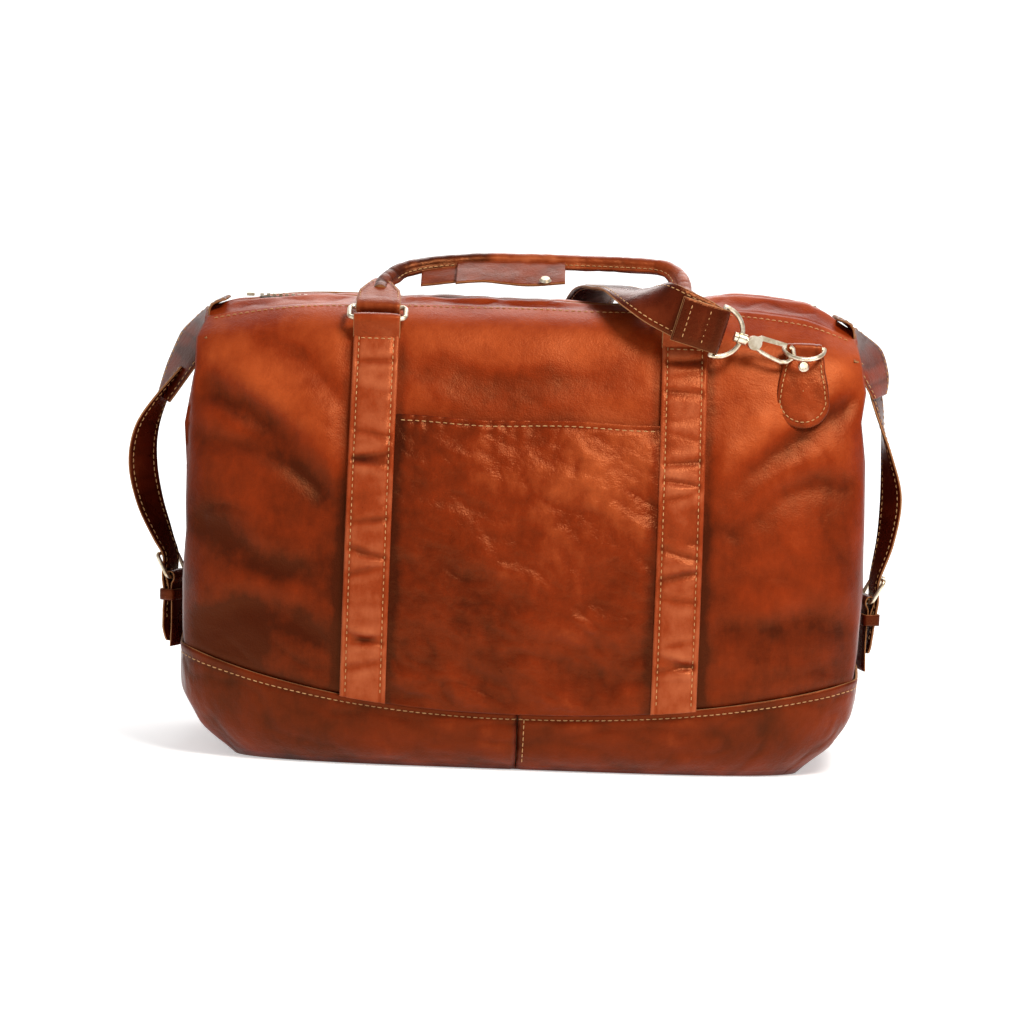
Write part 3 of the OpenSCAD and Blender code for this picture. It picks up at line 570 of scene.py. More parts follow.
def panel_points(cols, rows, folds, seed, left, right, way=1):
    """A panel from the base seam up, and on over the shoulder to its seam with the facing."""
    t = np.linspace(-1, 1, cols)
    t = 0.7 * t + 0.3 * np.sin(math.pi * t / 2)
    h = np.r_[np.linspace(0, 1, rows), 1 + np.linspace(0, 1, 17)[1:]]
    tt, hh = np.meshgrid(t, h)
    x = tt * (HALF_LEN - 2.0)
    low = seam_z(x * way) + 0.4
    over = np.maximum(0.0, hh - 1)
    z = low + (top_z(x) - low) * np.minimum(1.0, hh)
    x = x * (half_length(z) - 0.6) / HALF_LEN
    height, relief = panel_relief(x, z, folds, seed, way)
    edge = ease(0.0, 0.06, 1.0 - np.abs(tt))
    x = x + edge_wave(x, z, left, right) * (1 - over)
    x = x * (1 - 0.022 * over)
    y = front_depth(x, z)
    rolled_y, rolled_z = shoulder(x, PANEL_TURN * over)
    calm = 1 - 0.8 * np.exp(-((x - 70) / 34) ** 2) - 0.7 * np.exp(-((np.abs(x) - 122) / 22) ** 2)
    between_seams = ease(0, 0.4, over) * ease(1.0, 0.8, over)
    soft = 1.6 * ripple(x, seed, rolled_y, 40.0, seed + 8) * between_seams * calm
    lift = height * edge * (1 - 0.6 * over) + soft + 1.4 * over
    lean = math.pi * 0.38 * over
    y = np.where(over > 0, rolled_y - 0.6 * (1 - over), y) + lift * np.cos(lean)
    z = np.where(over > 0, rolled_z + 0.5 * (1 - over), z) + lift * np.sin(lean)
    # The hide rolls over the shoulder without a corner: rows near it are eased towards their neighbours
    near = (ease(0.86, 0.94, hh) * ease(1.9, 1.5, hh))[1:-1]
    for _ in range(90):
        y[1:-1] += near * (0.25 * (y[:-2] + y[2:]) - 0.5 * y[1:-1])
        z[1:-1] += near * (0.25 * (z[:-2] + z[2:]) - 0.5 * z[1:-1])
    return x, y, z, (relief + 0.5 * soft) * edge


def front_panel_grid():
    x, y, z, relief = panel_points(230, 150, FRONT_FOLDS, 3, FRONT_LEFT, FRONT_RIGHT)
    return np.stack([x, -y, z], -1), relief


def back_panel_grid():
    x, y, z, relief = panel_points(200, 130, BACK_FOLDS, 11, FRONT_RIGHT, FRONT_LEFT, -1)
    return np.stack([-x, y, z], -1), relief


def low_shade(z):
    """Painted shade: the leather is darker low down, away from the light from above."""
    return -0.26 * (1 - ease(60, 320, z))


front_grid, front_relief = front_panel_grid()
grid_x, grid_z = front_grid[..., 0], front_grid[..., 2]
# Painted shade: the hide is darkened in a narrow line next to each strap's edge, where the raised strap
# shades it
strap_edge_shade = np.exp(-((np.abs(np.abs(grid_x) - STRAP_X) - 21) / 4.5) ** 2) * ease(346, 330, grid_z)
# Painted light: the right half is toned lighter and the left half darker, as lit from above right.
front_tone = low_shade(grid_z) + 0.06 * ease(0, 250, grid_x) - 0.08 * ease(60, 250, -grid_x) - 0.20 * strap_edge_shade
# Painted highlight: the top of the panel is toned lighter, where the light from above falls.
front_tone = front_tone + 0.08 * ease(250, 340, grid_z)
hide = [shell_leather, raw_edge]
front_panel = sheet_mesh("front_panel_hide", front_grid, 1.8, hide, to_relief(front_relief, 2.4),
                         front_tone)
finish_piece(front_panel, "root", "shell_leather", "front_panel")
back_grid, back_relief = back_panel_grid()
# Painted shade low down on the back panel.
back_tone = low_shade(back_grid[..., 2])
back_panel = sheet_mesh("back_panel_hide", back_grid, 1.8, hide, to_relief(back_relief, 2.4), back_tone)
finish_piece(back_panel, "root", "shell_leather", "back_panel")
print("front panel points", len(front_panel.data.vertices))


# %% Finish of the frame's own brass
BRASS_NODES = [n for n in frame["nodes"] if any(
    word in n for word in ("ring", "hook", "buckle", "prong", "teeth", "slider", "puller", "stops", "rivet",
                           "stud"))
    and "loops" not in n and "tab_front" not in n and "tab_back" not in n]


def dress(node, material):
    obj = frame["nodes"][node]
    for place in range(max(1, len(obj.material_slots))):
        if obj.material_slots:
            obj.material_slots[place].material = material
        else:
            obj.data.materials.append(material)


for node in BRASS_NODES:
    dress(node, old_brass)
for node, finish in (("lining_front", khaki_lining), ("lining_back", khaki_lining),
                     ("lining_ends", khaki_lining),
                     ("zip_tapes", tape_cloth), ("base_board", board),
                     ("base_underside", band_leather)):
    dress(node, finish)
print("dressed", len(BRASS_NODES), "brass nodes")

# %% [markdown]
# ## Folded ends
# Each end is a panel folded inwards between the two ear corners, which makes the bag narrower
# at the top. Its edges follow the waves of the front and back panels, and a deep crease runs
# down the middle where the fold closes. A flat end would hold the shape better, but the bag
# would lose its pointed shoulders.
# %% End panels
def end_panel_grid(way):
    f, h = np.meshgrid(np.linspace(-1, 1, 70), np.linspace(0, 1, 110))
    low = seam_z(np.array(way * HALF_LEN)) + 0.4
    z = low + (328 - 26 * (1 - f ** 2) - low) * h
    near = ease(0.55, 1.0, np.abs(f))
    table = (FRONT_LEFT if way < 0 else FRONT_RIGHT)
    wave = np.interp(z, *zip(*table)) * near
    y = f * (ear(z) - 1.0)
    held = ease(0, 14, z - low) * ease(0, 0.1, 1 - np.abs(f))
    crumple = 3.0 * ripple(way * 40, y * 1.1, z * 0.8, 52.0, 21)
    crumple = crumple + 1.6 * creases(way * 9, y, z * 0.6, 30.0, 22) + 0.5 * ripple(way, y, z, 15.0, 24)
    x = half_length(z) - 3 + wave - end_fold(z) * (1 - np.abs(f) ** 1.6) + crumple * held
    grid = np.stack([way * x, way * y, z], -1)
    return grid, crumple


for side, way in (("left", -1), ("right", 1)):
    grid, crumple = end_panel_grid(way)
    # Painted shade low down; the end panels are also toned a little darker.
    tone = low_shade(grid[..., 2]) - 0.12
    piece = sheet_mesh(f"end_panel_hide_{side}", grid, 1.8, hide, to_relief(crumple, 3.0), tone)
    finish_piece(piece, "root", "shell_leather", f"end_panel_{side}")


# %% Gussets above the ends
def gusset_grid(way):
    """Closes the end between the zip facings above and the folded end panel below."""
    f, v = np.meshgrid(np.linspace(-1, 1, 61), np.linspace(0, 1, 14))
    low_z = 328 - 26 * (1 - f ** 2)
    low_x = half_length(low_z) - 3 - end_fold(low_z) * (1 - np.abs(f) ** 1.6)
    low_y = f * (ear(low_z) - 1.0)
    top_x = np.full(f.shape, HALF_LEN - 12.0)
    top_y, top_height = shoulder(way * top_x, 1 - np.abs(f))
    top_y = np.sign(f) * top_y * np.abs(f) ** 0.15
    x = low_x + (top_x - low_x) * v
    y = low_y + (top_y - low_y) * v
    z = low_z + (top_height - 3.0 - low_z) * v
    free = np.sin(math.pi * v)
    slack = (5.0 * (1 - f ** 2) + 1.6 * ripple(way * 20, y, z * 1.3, 26.0, 27)) * free
    return np.stack([way * (x + slack), way * y, z], -1), slack


for side, way in (("left", -1), ("right", 1)):
    grid, slack = gusset_grid(way)
    piece = sheet_mesh(f"end_gusset_{side}", grid, 1.6, [dark_leather, raw_edge], to_relief(slack - 3, 6.0),
                       0.05)
    finish_piece(piece, "root", "shell_leather")
print("ends folded and closed")

# %% [markdown]
# ## Base band
# The lowest part is a separate band of thicker leather, cut as a left and a right half that
# meet in an upright seam at the middle. It is taken round the rounded corners of the bottom, so
# it wrinkles there. Its top edge is turned in and lies over the panels.
# %% Band halves
band_cache = {}


def band_grid(way):
    """Points of one half of the band, laid once and kept."""
    if way not in band_cache:
        band_cache[way] = lay_band(way)
    return band_cache[way]


def lay_band(way):
    """Round one end: from the front middle, round the two ear corners, to the rear middle."""
    p = np.linspace(0, 1, 190)
    half = []
    for s in p:
        # front middle to front right ear, across the end, and back to the rear middle
        half.append((0, math.sin(math.pi / 2 * s / 0.4)) if s < 0.4 else (1, (s - 0.4) / 0.2 * 2 - 1)
                    if s < 0.6
                    else (2, math.sin(math.pi / 2 * (1 - s) / 0.4)))
    h = np.linspace(0, 1, 24) ** 0.8
    rows = []
    for hh in h:
        row = []
        for part, v in half:
            x0 = v * HALF_LEN if part != 1 else HALF_LEN
            z = 1.0 + (float(seam_z(np.array(way * x0))) - 1.0 + 1.6) * hh
            length = float(half_length(z))
            if part == 1:
                x = length - float(end_fold(z)) * (1 - abs(v) ** 1.6)
                y = v * float(ear(z))
            else:
                x = v * length
                y = float(front_depth(x, z)) * (-1 if part == 0 else 1)
            row.append((x, y, z))
        rows.append(row)
    g = np.array(rows)
    n = grid_normals(g)
    u = np.broadcast_to(p * 900, g.shape[:2])
    hh = np.broadcast_to(h[:, None], g.shape[:2])
    puff = (2.2 - 1.4 * ease(150, 260, g[..., 0])) * np.sin(math.pi * np.clip(hh, 0, 1)) ** 0.7
    wrinkle = 1.3 * ripple(u * 0.5, way * 50, hh * 40, 24.0, 31) + 0.9 * creases(u * 0.45, way * 30,
        hh * 60, 22.0, 32)
    wrinkle = wrinkle + 0.35 * ripple(u, way * 7, hh * 60, 9.0, 33)
    lip = 0.7 * ease(0.9, 0.97, hh)
    groove = -0.9 * np.exp(-((hh - 0.9) / 0.02) ** 2)
    middle = -0.8 * np.exp(-(g[..., 0] / 1.4) ** 2)
    off = (puff + wrinkle) * ease(0, 0.12, hh) * ease(0, 0.14, 1 - hh) + lip + groove * 0.5 + middle + 0.5
    g = g + n * off[..., None]
    g[..., 0] = np.maximum(g[..., 0], 0.35)
    if way < 0:
        g = g[:, ::-1] * np.array([-1, 1, 1])
        wrinkle, groove, middle = wrinkle[:, ::-1], groove[:, ::-1], middle[:, ::-1]
    return g, wrinkle + groove + middle


for side, way in (("left", -1), ("right", 1)):
    grid, wrinkle = band_grid(way)
    # Painted shade: the band is toned darker, and more so towards the left end, away from the light from
    # above right.
    piece = sheet_mesh(f"base_band_hide_{side}", grid, 2.0, [band_leather, raw_edge],
                       to_relief(wrinkle, 1.6),
                       -0.08 - 0.06 * ease(80, 260, -grid[..., 0]))
    finish_piece(piece, "root", "base_leather", f"base_band_{side}")
print("band made")

# %% [markdown]
# ## Zip facings
# Two long pieces of hide roll over the top from the panels to the zip. Beside the zip each one
# is folded back on itself into a soft welt, which stands a little higher than the teeth and
# hides them from the front. The right half of the bag stands fuller than the left.
# %% Facings
def facing_grid(way):
    f, t = np.meshgrid(np.linspace(-1, 1, 200), np.linspace(PANEL_TURN - 0.05, 1, 26))
    x = f * (HALF_LEN - 8)
    y, z = shoulder(x, t)
    welt = (3.0 + 2.0 * ease(-120, 190, x)) * np.exp(-((t - 0.9) / 0.12) ** 2) * ease(1.0, 0.86, share(x))
    soft = 1.4 * ripple(x, way * 33, y, 40.0, 41) + 0.9 * creases(x * 0.8, way * 9, y * 1.3, 30.0, 42)
    soft = (soft + 0.4 * ripple(x, way, y, 13.0, 43)) * ease(PANEL_TURN, 0.68, t) * ease(0, 0.1, 1 - t)
    # Nothing is lifted under the shoulder strap and the handle rings
    calm = 1 - 0.85 * np.exp(-((x - 70) / 34) ** 2) - 0.75 * np.exp(-((np.abs(x) - 122) / 20) ** 2)
    z = z + (welt + soft) * calm - 0.8 * ease(PANEL_TURN + 0.06, PANEL_TURN, t)
    return np.stack([x, -y, z], -1), soft + 0.3 * welt


for name, way in (("front", -1), ("back", 1)):
    grid, soft = facing_grid(way)
    if way > 0:
        # The welt is fuller at the right end on both facings
        grid = (grid * np.array([1, -1, 1]))[:, ::-1]
        soft = soft[:, ::-1]
    # Painted highlight: the facings, on top of the bag, are toned a little lighter.
    piece = sheet_mesh(f"zip_facing_hide_{name}", grid, 1.8, [shell_leather, raw_edge],
                       to_relief(soft, 2.0), 0.06)
    finish_piece(piece, "root", "shell_leather", f"zip_facing_{name}")
print("facings rolled")

# %% [markdown]
# ## Slip pocket
# The pocket is a softer, glossier skin sewn in under the two handle straps and into the base
# seam. It is cut too wide, so its hem stands away from the bag and its face falls in crinkles
# that slant down from the right. Crinkles are laid as narrow valleys between small pads.
# %% Pocket
POCKET_HALF = 105.0
POCKET_TOP = 277.0


def pocket_off(x, z):
    """How far the pocket's face stands off the panel, and its small relief."""
    f = np.clip((z - seam_z(x)) / (POCKET_TOP - seam_z(x)), 0, 1)
    puff = 1.6 + 6.0 * (1 - np.abs(x / POCKET_HALF) ** 3) * (0.25 + 0.75 * f)
    warp = 9 * ripple(x, 5, z, 45.0, 55)
    slant = x * 0.42 + z * 0.9 + warp
    run = x * 0.9 - z * 0.42
    big = 3.4 * ripple(run * 0.5, 3, slant, 38.0, 51) + 2.0 * ripple(run * 0.45, 13, slant * 1.1, 19.0, 57)
    big = big + 0.9 * ripple(run * 0.5, 23, slant, 10.0, 60)
    ridged = 1 - np.abs(ripple(run * 0.5, 9, slant, 17.0, 52))
    patchy = 0.35 + 0.65 * ease(-0.4, 0.5, ripple(x, 7, z, 50.0, 58))
    cracks = -0.8 * (ridged ** 4 - 0.35) * patchy
    tiny = 0.5 * ripple(run * 0.8, 4, slant, 8.0, 54) + 0.22 * ripple(x, 4, z, 4.0, 59)
    gathers = 0.55 * np.sin(x * 0.45 + 4.5 * ripple(x, 0, 0, 18.0,
                                                    56)) * np.exp(-((POCKET_TOP - z) / 16) ** 2)
    gathers = gathers * ease(60, -20, x)
    held = ease(0, 9, POCKET_HALF - np.abs(x)) * ease(0, 10, z - seam_z(x))
    hem = 0.25 + 0.75 * ease(0, 9, POCKET_TOP - z)
    relief = (0.3 * big + (cracks + tiny) * hem + gathers) * held
    stitch = -0.8 * np.exp(-((POCKET_TOP - 4.5 - z) / 1.6) ** 2)
    return puff + (big * hem + (cracks + tiny) * hem + gathers) * held + stitch + 1.6, relief + stitch


t, h = np.meshgrid(np.linspace(-1, 1, 190), np.linspace(0, 1, 180))
pocket_x = t * POCKET_HALF
pocket_z = seam_z(pocket_x) + 1.2 + (POCKET_TOP - seam_z(pocket_x)
                                     - 1.2) * h + 1.0 * np.sin(pocket_x * 0.05) * ease(0.9, 1, h)
off, relief = pocket_off(pocket_x, pocket_z)
pocket_grid = np.stack([pocket_x, -front_depth(pocket_x, pocket_z) - off, pocket_z], -1)
# Painted highlight over the upper pocket from the middle rightwards; painted shade darkens the whole pocket
# a little and more along its two sewn sides.
pocket_sheen_and_shade = 0.22 * ease(-110, 40, pocket_x) * ease(90, 250, pocket_z) - 0.14 - 0.22 * ease(92, 104,
    np.abs(pocket_x))
pocket = sheet_mesh("slip_pocket_hide", pocket_grid, 1.6, [pocket_leather, raw_edge],
                    to_relief(relief, 1.7), pocket_sheen_and_shade)
finish_piece(pocket, "root", "pocket_leather", "front_pocket")
print("pocket made")

# %% [markdown]
# ## Handle straps
# Four straps carry the load from the base to the rings. Each is two layers sewn down both edges,
# and the top layer is a little long, so it stands up in pads with cross creases between them.
# The pads carry a painted highlight and the creases painted shade. The crease places are written down here,
# because no two pads are alike.
# %% Straps
CREASES = [(82, 0.2), (97, -0.3), (109, 0.4), (131, 0.1), (147, -0.2), (163, 0.3), (170, -0.3), (188, 0.2),
           (203, -0.1),
           (214, 0.35), (236, -0.2), (251, 0.15), (262, -0.35), (286, 0.2), (303, -0.1), (318, 0.1)]


def strap_height(u, z, seed):
    """Height over the strap's own flat face: pads, cross creases and the two sewn grooves."""
    wander = 3.0 * ripple(u * 9, seed, z, 22.0, 61 + seed)
    height = 1.1 * (1 - np.abs(u) ** 3.5) + 0.7 * ripple(u * 8, seed * 5, z, 19.0, 62 + seed)
    relief = 0.55 * ripple(u * 10, seed * 5, z * 1.2, 15.0, 62 + seed)
    for k, (place, lean) in enumerate(CREASES):
        shift = place + (7 * math.sin(k * 2.1 + seed * 1.7))
        strong = 0.55 + 0.45 * math.sin(k * 1.3 + seed)
        distance = z - shift - lean * u * 12 - wander
        valley = -np.exp(-(distance / 3.0) ** 2)
        crown = 0.5 * np.exp(-((np.abs(distance) - 6.5) / 4.0) ** 2)
        reach = (1 - 0.75 * np.abs(u) ** 4)
        height = height + strong * 1.8 * (valley + crown) * reach
        relief = relief + strong * (1.1 * valley + 1.0 * crown) * reach
    sewn = -np.exp(-((np.abs(u) - 0.76) / 0.055) ** 2)
    edge = 0.5 * np.exp(-((np.abs(u) - 0.9) / 0.07) ** 2)
    return height * ease(1.0, 0.7, np.abs(u)) + 0.7 * sewn + edge, relief * ease(1.0, 0.8,
        np.abs(u)) + 0.7 * sewn + 0.5 * edge


def strap_surface(x0, u, z, way, seed):
    x = x0 + u * 18.0
    height, relief = strap_height(u, z, seed)
    y = front_depth(x, z) + 4.0 + height
    return np.stack([x, way * y, z], -1), relief


straps = (("front_left", -STRAP_X, -1, 0), ("front_right", STRAP_X, -1, 1),
          ("back_left", -STRAP_X, 1, 2), ("back_right", STRAP_X, 1, 3))
for name, x0, way, seed in straps:
    u, h = np.meshgrid(np.linspace(-1, 1, 30) * (1 if way < 0 else -1), np.linspace(0, 1, 330))
    z = seam_z(x0 + u * 18) + 1.0 + (346.5 - seam_z(x0 + u * 18) - 1.0) * h
    grid, relief = strap_surface(x0, u, z, way, seed)
    piece = sheet_mesh(f"handle_strap_{name}", grid, 2.6, [strap_leather, raw_edge], to_relief(relief, 1.2),
                       0.02)
    finish_piece(piece, "root", "strap_leather", f"strap_{name}")
print("straps sewn")


# %% [markdown]
# ## Ribbons, loops and tubes
# Everything else of leather is either a ribbon that follows a route or a rolled tube. A ribbon
# has soft shoulders and a raw cut edge of paler leather, so its section is drawn as a closed
# ring of points and carried along the route.
# %% Ribbon maker
def unit(v):
    return v / np.maximum(np.linalg.norm(v, axis=-1, keepdims=True), 1e-9)


def closed_mesh(name, rings, slots, materials, relief, tone, loop=False):
    """Joins rings of points along a route into a closed solid, and turns it outwards."""
    n, m = rings.shape[:2]
    points = rings.reshape(-1, 3) * MM
    faces, kinds = [], []
    for i in range(n if loop else n - 1):
        a, b = i * m, ((i + 1) % n) * m
        for k in range(m):
            q = (k + 1) % m
            faces.append((a + k, a + q, b + q, b + k))
            kinds.append(slots[k])
    if not loop:
        # Each end is closed by a fan round its own middle point
        extra = np.stack([points[:m].mean(0), points[-m:].mean(0)])
        points = np.vstack([points, extra])
        for k in range(m):
            q = (k + 1) % m
            faces.append((q, k, n * m))
            faces.append(((n - 1) * m + k, (n - 1) * m + q, n * m + 1))
            kinds += [min(1, len(materials) - 1)] * 2
    tri = np.array([(f[0], f[j], f[j + 1]) for f in faces for j in range(1, len(f) - 1)])
    p = points[tri]
    if np.einsum("ij,ij->", p[:, 0], np.cross(p[:, 1], p[:, 2])) < 0:
        faces = [f[::-1] for f in faces]
    mesh = bpy.data.meshes.new(name)
    mesh.from_pydata(points.tolist(), [], faces)
    obj = link(mesh, name, materials)
    mesh.polygons.foreach_set("material_index", kinds)
    spare = np.zeros(len(points) - n * m)
    store(mesh, "relief", np.concatenate([np.broadcast_to(relief, (n, m)).ravel(), spare]))
    store(mesh, "tone", np.concatenate([np.broadcast_to(tone, (n, m)).ravel(), spare]))
    mesh.update()
    return obj


def route_frames(route, across):
    s = unit(np.gradient(route, axis=0))
    side = unit(across - np.sum(across * s, 1, keepdims=True) * s)
    return s, side, np.cross(s, side)


def band_frames(route, across, widths, steps):
    route = catmull(route, steps)
    across = catmull(across, steps)
    widths = np.interp(np.linspace(0, 1, len(route)), np.linspace(0, 1, len(widths)), widths)
    return route, across, widths


def ribbon_mesh(name, route, across, widths, thick, materials, seed=0, wrinkle=0.5, lift=0.0, loop=False,
                tone=0.0):
    """A leather ribbon: domed faces with a sewn groove near each side, and cut edges."""
    s, side, up = route_frames(route, across)
    half = thick / 2
    u = np.linspace(-1, 1, 15)
    sewn = -0.45 * np.exp(-((np.abs(u) - (1 - 7.0 / np.mean(widths))) / 0.07) ** 2)
    top = half * (1 - 0.45 * np.abs(u) ** 10) + sewn + 0.25 * (1 - u ** 2)
    along = np.cumsum(np.r_[0, np.linalg.norm(np.diff(route, axis=0), axis=1)])
    rings, reliefs = [], []
    for i in range(len(route)):
        w = widths[i] / 2
        bump = wrinkle * (0.6 * ripple(u * 8, seed * 9, along[i], 16.0, 70 + seed)
                          + 0.9 * creases(u * 3, seed * 3, along[i], 17.0, 71 + seed))
        bump = bump * (1 - np.abs(u) ** 6)
        upper = [route[i] + side[i] * (v * w) + up[i] * (tt + b + lift) for v, tt, b in zip(u, top, bump)]
        edge_r = route[i] + side[i] * (w + 0.5) + up[i] * lift
        lower = [route[i] + side[i] * (v * w) + up[i] * (lift - tt + 0.6 * b)
                 for v, tt, b in zip(u[::-1], top[::-1], bump[::-1])]
        edge_l = route[i] - side[i] * (w + 0.5) + up[i] * lift
        rings.append(upper + [edge_r] + lower + [edge_l])
        r = bump / max(0.4, wrinkle) + sewn
        reliefs.append(np.concatenate([r, [0], r[::-1], [0]]))
    n_u = len(u)
    slots = [0] * (n_u - 1) + [1, 1] + [0] * (n_u - 1) + [1, 1]
    return closed_mesh(name, np.array(rings), slots, materials, np.array(reliefs), tone, loop)


def stitch_row(name, line, normals, body, slot, pitch=5.0, long=3.5, thick=0.85, shade=thread):
    """A row of waxed stitches along a line: each one a short bead of thread, sunk at its ends."""
    line = np.asarray(line, float)
    run = np.r_[0, np.cumsum(np.linalg.norm(np.diff(line, axis=0), axis=1))]
    count = max(2, int(run[-1] / pitch))
    at = (np.arange(count) + 0.5) * run[-1] / count
    centre = np.stack([np.interp(at, run, line[:, k]) for k in range(3)], 1)
    ahead = np.stack([np.interp(np.minimum(at + 1.0, run[-1]), run, line[:, k]) for k in range(3)], 1)
    behind = np.stack([np.interp(np.maximum(at - 1.0, 0), run, line[:, k]) for k in range(3)], 1)
    normal = np.stack([np.interp(at, run, np.asarray(normals, float)[:, k]) for k in range(3)], 1)
    tangent = unit(ahead - behind)
    normal = unit(normal - np.sum(normal * tangent, 1, keepdims=True) * tangent)
    cross = np.cross(tangent, normal)
    ends = np.array([-1.0, -0.72, 0.0, 0.72, 1.0])
    radii = np.array([0.25, 0.85, 1.0, 0.85, 0.25])
    angles = np.arange(6) * math.pi / 3
    points, faces = [], []
    for i in range(count):
        base = len(points)
        wobble = 0.10 * math.sin(i * 12.9898)
        for e, r in zip(ends, radii):
            middle = centre[i] + tangent[i] * (e * long / 2) + normal[i] * (0.12
                - 0.45 * e * e) + cross[i] * wobble * e
            for a in angles:
                points.append(middle + (normal[i] * math.cos(a) * 0.8
                                        + cross[i] * math.sin(a)) * r * thick / 2)
        for k in range(4):
            for a in range(6):
                b = (a + 1) % 6
                faces.append((base + k * 6 + a, base + k * 6 + b, base + (k + 1) * 6 + b,
                              base + (k + 1) * 6 + a))
        faces.append(tuple(base + a for a in reversed(range(6))))
        faces.append(tuple(base + 24 + a for a in range(6)))
    mesh = bpy.data.meshes.new(name)
    mesh.from_pydata((np.array(points) * MM).tolist(), [], faces)
    obj = link(mesh, name, [shade])
    return finish_piece(obj, body, slot)


# %% Stitches of the straps, pocket and band
for name, x0, way, seed in straps:
    z = np.linspace(float(seam_z(np.array(x0))) + 6, 342, 240)
    for tag, u0 in (("a", -0.76), ("b", 0.76)):
        u = np.full_like(z, u0)
        line, _ = strap_surface(x0, u, z, way, seed)
        line[:, 1] += way * 0.15
        stitch_row(f"strap_stitch_{name}_{tag}", line, np.tile([0, way, 0.25], (len(z), 1)), "root",
                   "strap_leather")
    for row in (335.5, 340.5):
        u = np.linspace(-0.72, 0.72, 20)
        line, _ = strap_surface(x0, u, np.full_like(u, row), way, seed)
        line[:, 1] += way * 0.2
        stitch_row(f"strap_top_stitch_{name}_{int(row)}", line, np.tile([0, way, 0.4], (20, 1)), "root",
                   "strap_leather")
hem_x = np.linspace(-101, 101, 160)
hem_z = np.full_like(hem_x, POCKET_TOP - 4.5) + 1.0 * np.sin(hem_x * 0.05)
hem_off, _ = pocket_off(hem_x, hem_z)
line = np.stack([hem_x, -front_depth(hem_x, hem_z) - hem_off - 0.2, hem_z], -1)
stitch_row("pocket_hem_stitch", line, np.tile([0, -1, 0.3], (160, 1)), "root", "pocket_leather", pitch=5.6,
           long=4.0)


def band_line(way, height_share):
    """The line on the band at a share of its height, with outward normals."""
    grid, _ = band_grid(way)
    normals = grid_normals(grid)
    h = np.linspace(0, 1, 24) ** 0.8
    k = np.interp(height_share, h, np.arange(24))
    i, f = int(k), k - int(k)
    return grid[i] * (1 - f) + grid[i + 1] * f, normals[i]


for side, way in (("left", -1), ("right", 1)):
    line, normals = band_line(way, 0.905)
    stitch_row(f"band_stitch_{side}", line + normals * 0.25, normals, "root", "base_leather")
grid, _ = band_grid(1)
for tag, first, second in (("front", 0, 1), ("back", -1, -2)):
    share_in = 4.6 / abs(float(grid[5, second, 0] - grid[5, first, 0]))
    line = (grid[:, first] * (1 - share_in) + grid[:, second] * share_in)[2:-2]
    normals = np.tile([0, -1.0 if tag == "front" else 1.0, 0.0], (len(line), 1))
    stitch_row(f"band_middle_stitch_{tag}", line + normals * 0.5, normals, "root", "base_leather",
               pitch=4.6)
for tag, grid in (("front", front_grid), ("back", back_grid)):
    row, normals = grid[-4], grid_normals(grid)[-4]
    # The row runs along the last rows of the panel, with its thread on the upper side
    normals = normals * np.sign(np.mean(normals[:, 2]))
    keep = np.abs(row[:, 0]) < 255
    stitch_row(f"panel_top_stitch_{tag}", row[keep] + normals[keep] * 0.3, normals[keep], "root",
               "shell_leather")

# %% [markdown]
# ## Ring loops and handles
# A leather loop holds each ring at a strap's top. The handle is a strip of hide rolled round a
# cord and sewn along its inner side, which leaves a flat fin there. Its ends are folded round
# the rings' upper bars as tapered tabs. The front handle leans back over the bag, and the back
# one hangs down behind, so both are drawn upright once and then leaned over their ring axis.
# %% Leaning frames
front_low, front_high = (np.array(v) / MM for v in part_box("rings_front"))
RING_AXIS = np.array([0.0, -80.0, 351.2])
RING_RISE = 19.0
FRONT_LEAN = -65.0
BACK_LEAN = 152.0


def lean_front(points, rise=RING_RISE):
    p = np.asarray(points, float) + [0, 0, rise]
    a = math.radians(FRONT_LEAN)
    return np.stack([p[..., 0], p[..., 1] * math.cos(a) - p[..., 2] * math.sin(a),
                     p[..., 1] * math.sin(a) + p[..., 2] * math.cos(a)], -1) + RING_AXIS


def lean_back(points, rise=RING_RISE):
    p = np.asarray(points, float) + [0, 0, rise]
    a = math.radians(BACK_LEAN)
    q = np.stack([p[..., 0], p[..., 1] * math.cos(a) - p[..., 2] * math.sin(a),
                  p[..., 1] * math.sin(a) + p[..., 2] * math.cos(a)], -1) + RING_AXIS
    return q * np.array([1, -1, 1])


# %% Ring loops on the straps
for name, way in (("front", -1), ("back", 1)):
    for tag, s in (("left", -1), ("right", 1)):
        path = np.array([(78.4, 336), (80.8, 342), (83.4, 348), (83.6, 352.4), (80.6, 354.2), (77.4, 353.2),
                         (76.2, 349), (74.2, 343), (72.6, 338)], float)
        route = np.stack([np.full(len(path), s * STRAP_X), way * path[:, 0], path[:, 1]], 1)
        across = np.tile([1.0, 0, 0], (len(path), 1))
        route, across, widths = band_frames(route, across, [36.0] * 5, 5)
        piece = ribbon_mesh(f"ring_loop_{name}_{tag}", route, across, widths, 2.4,
                            [strap_leather, raw_edge],
                            seed=4, wrinkle=0.15)
        finish_piece(piece, "root", "strap_leather", f"ring_loops_{name}")
print("ring loops", front_low, front_high)

# %% Rolled grips and their tabs
HANDLE_ROUTE = [(-122, 0, 26), (-121, 0, 36), (-117, 0, 48), (-105, 0, 65), (-80, 0, 78), (-40, 0, 86.5),
                (10, 0, 88.5),
                (60, 0, 88.8), (98, 0, 87), (113, 0, 79), (120, 0, 64), (121.5, 0, 46), (122, 0, 26)]


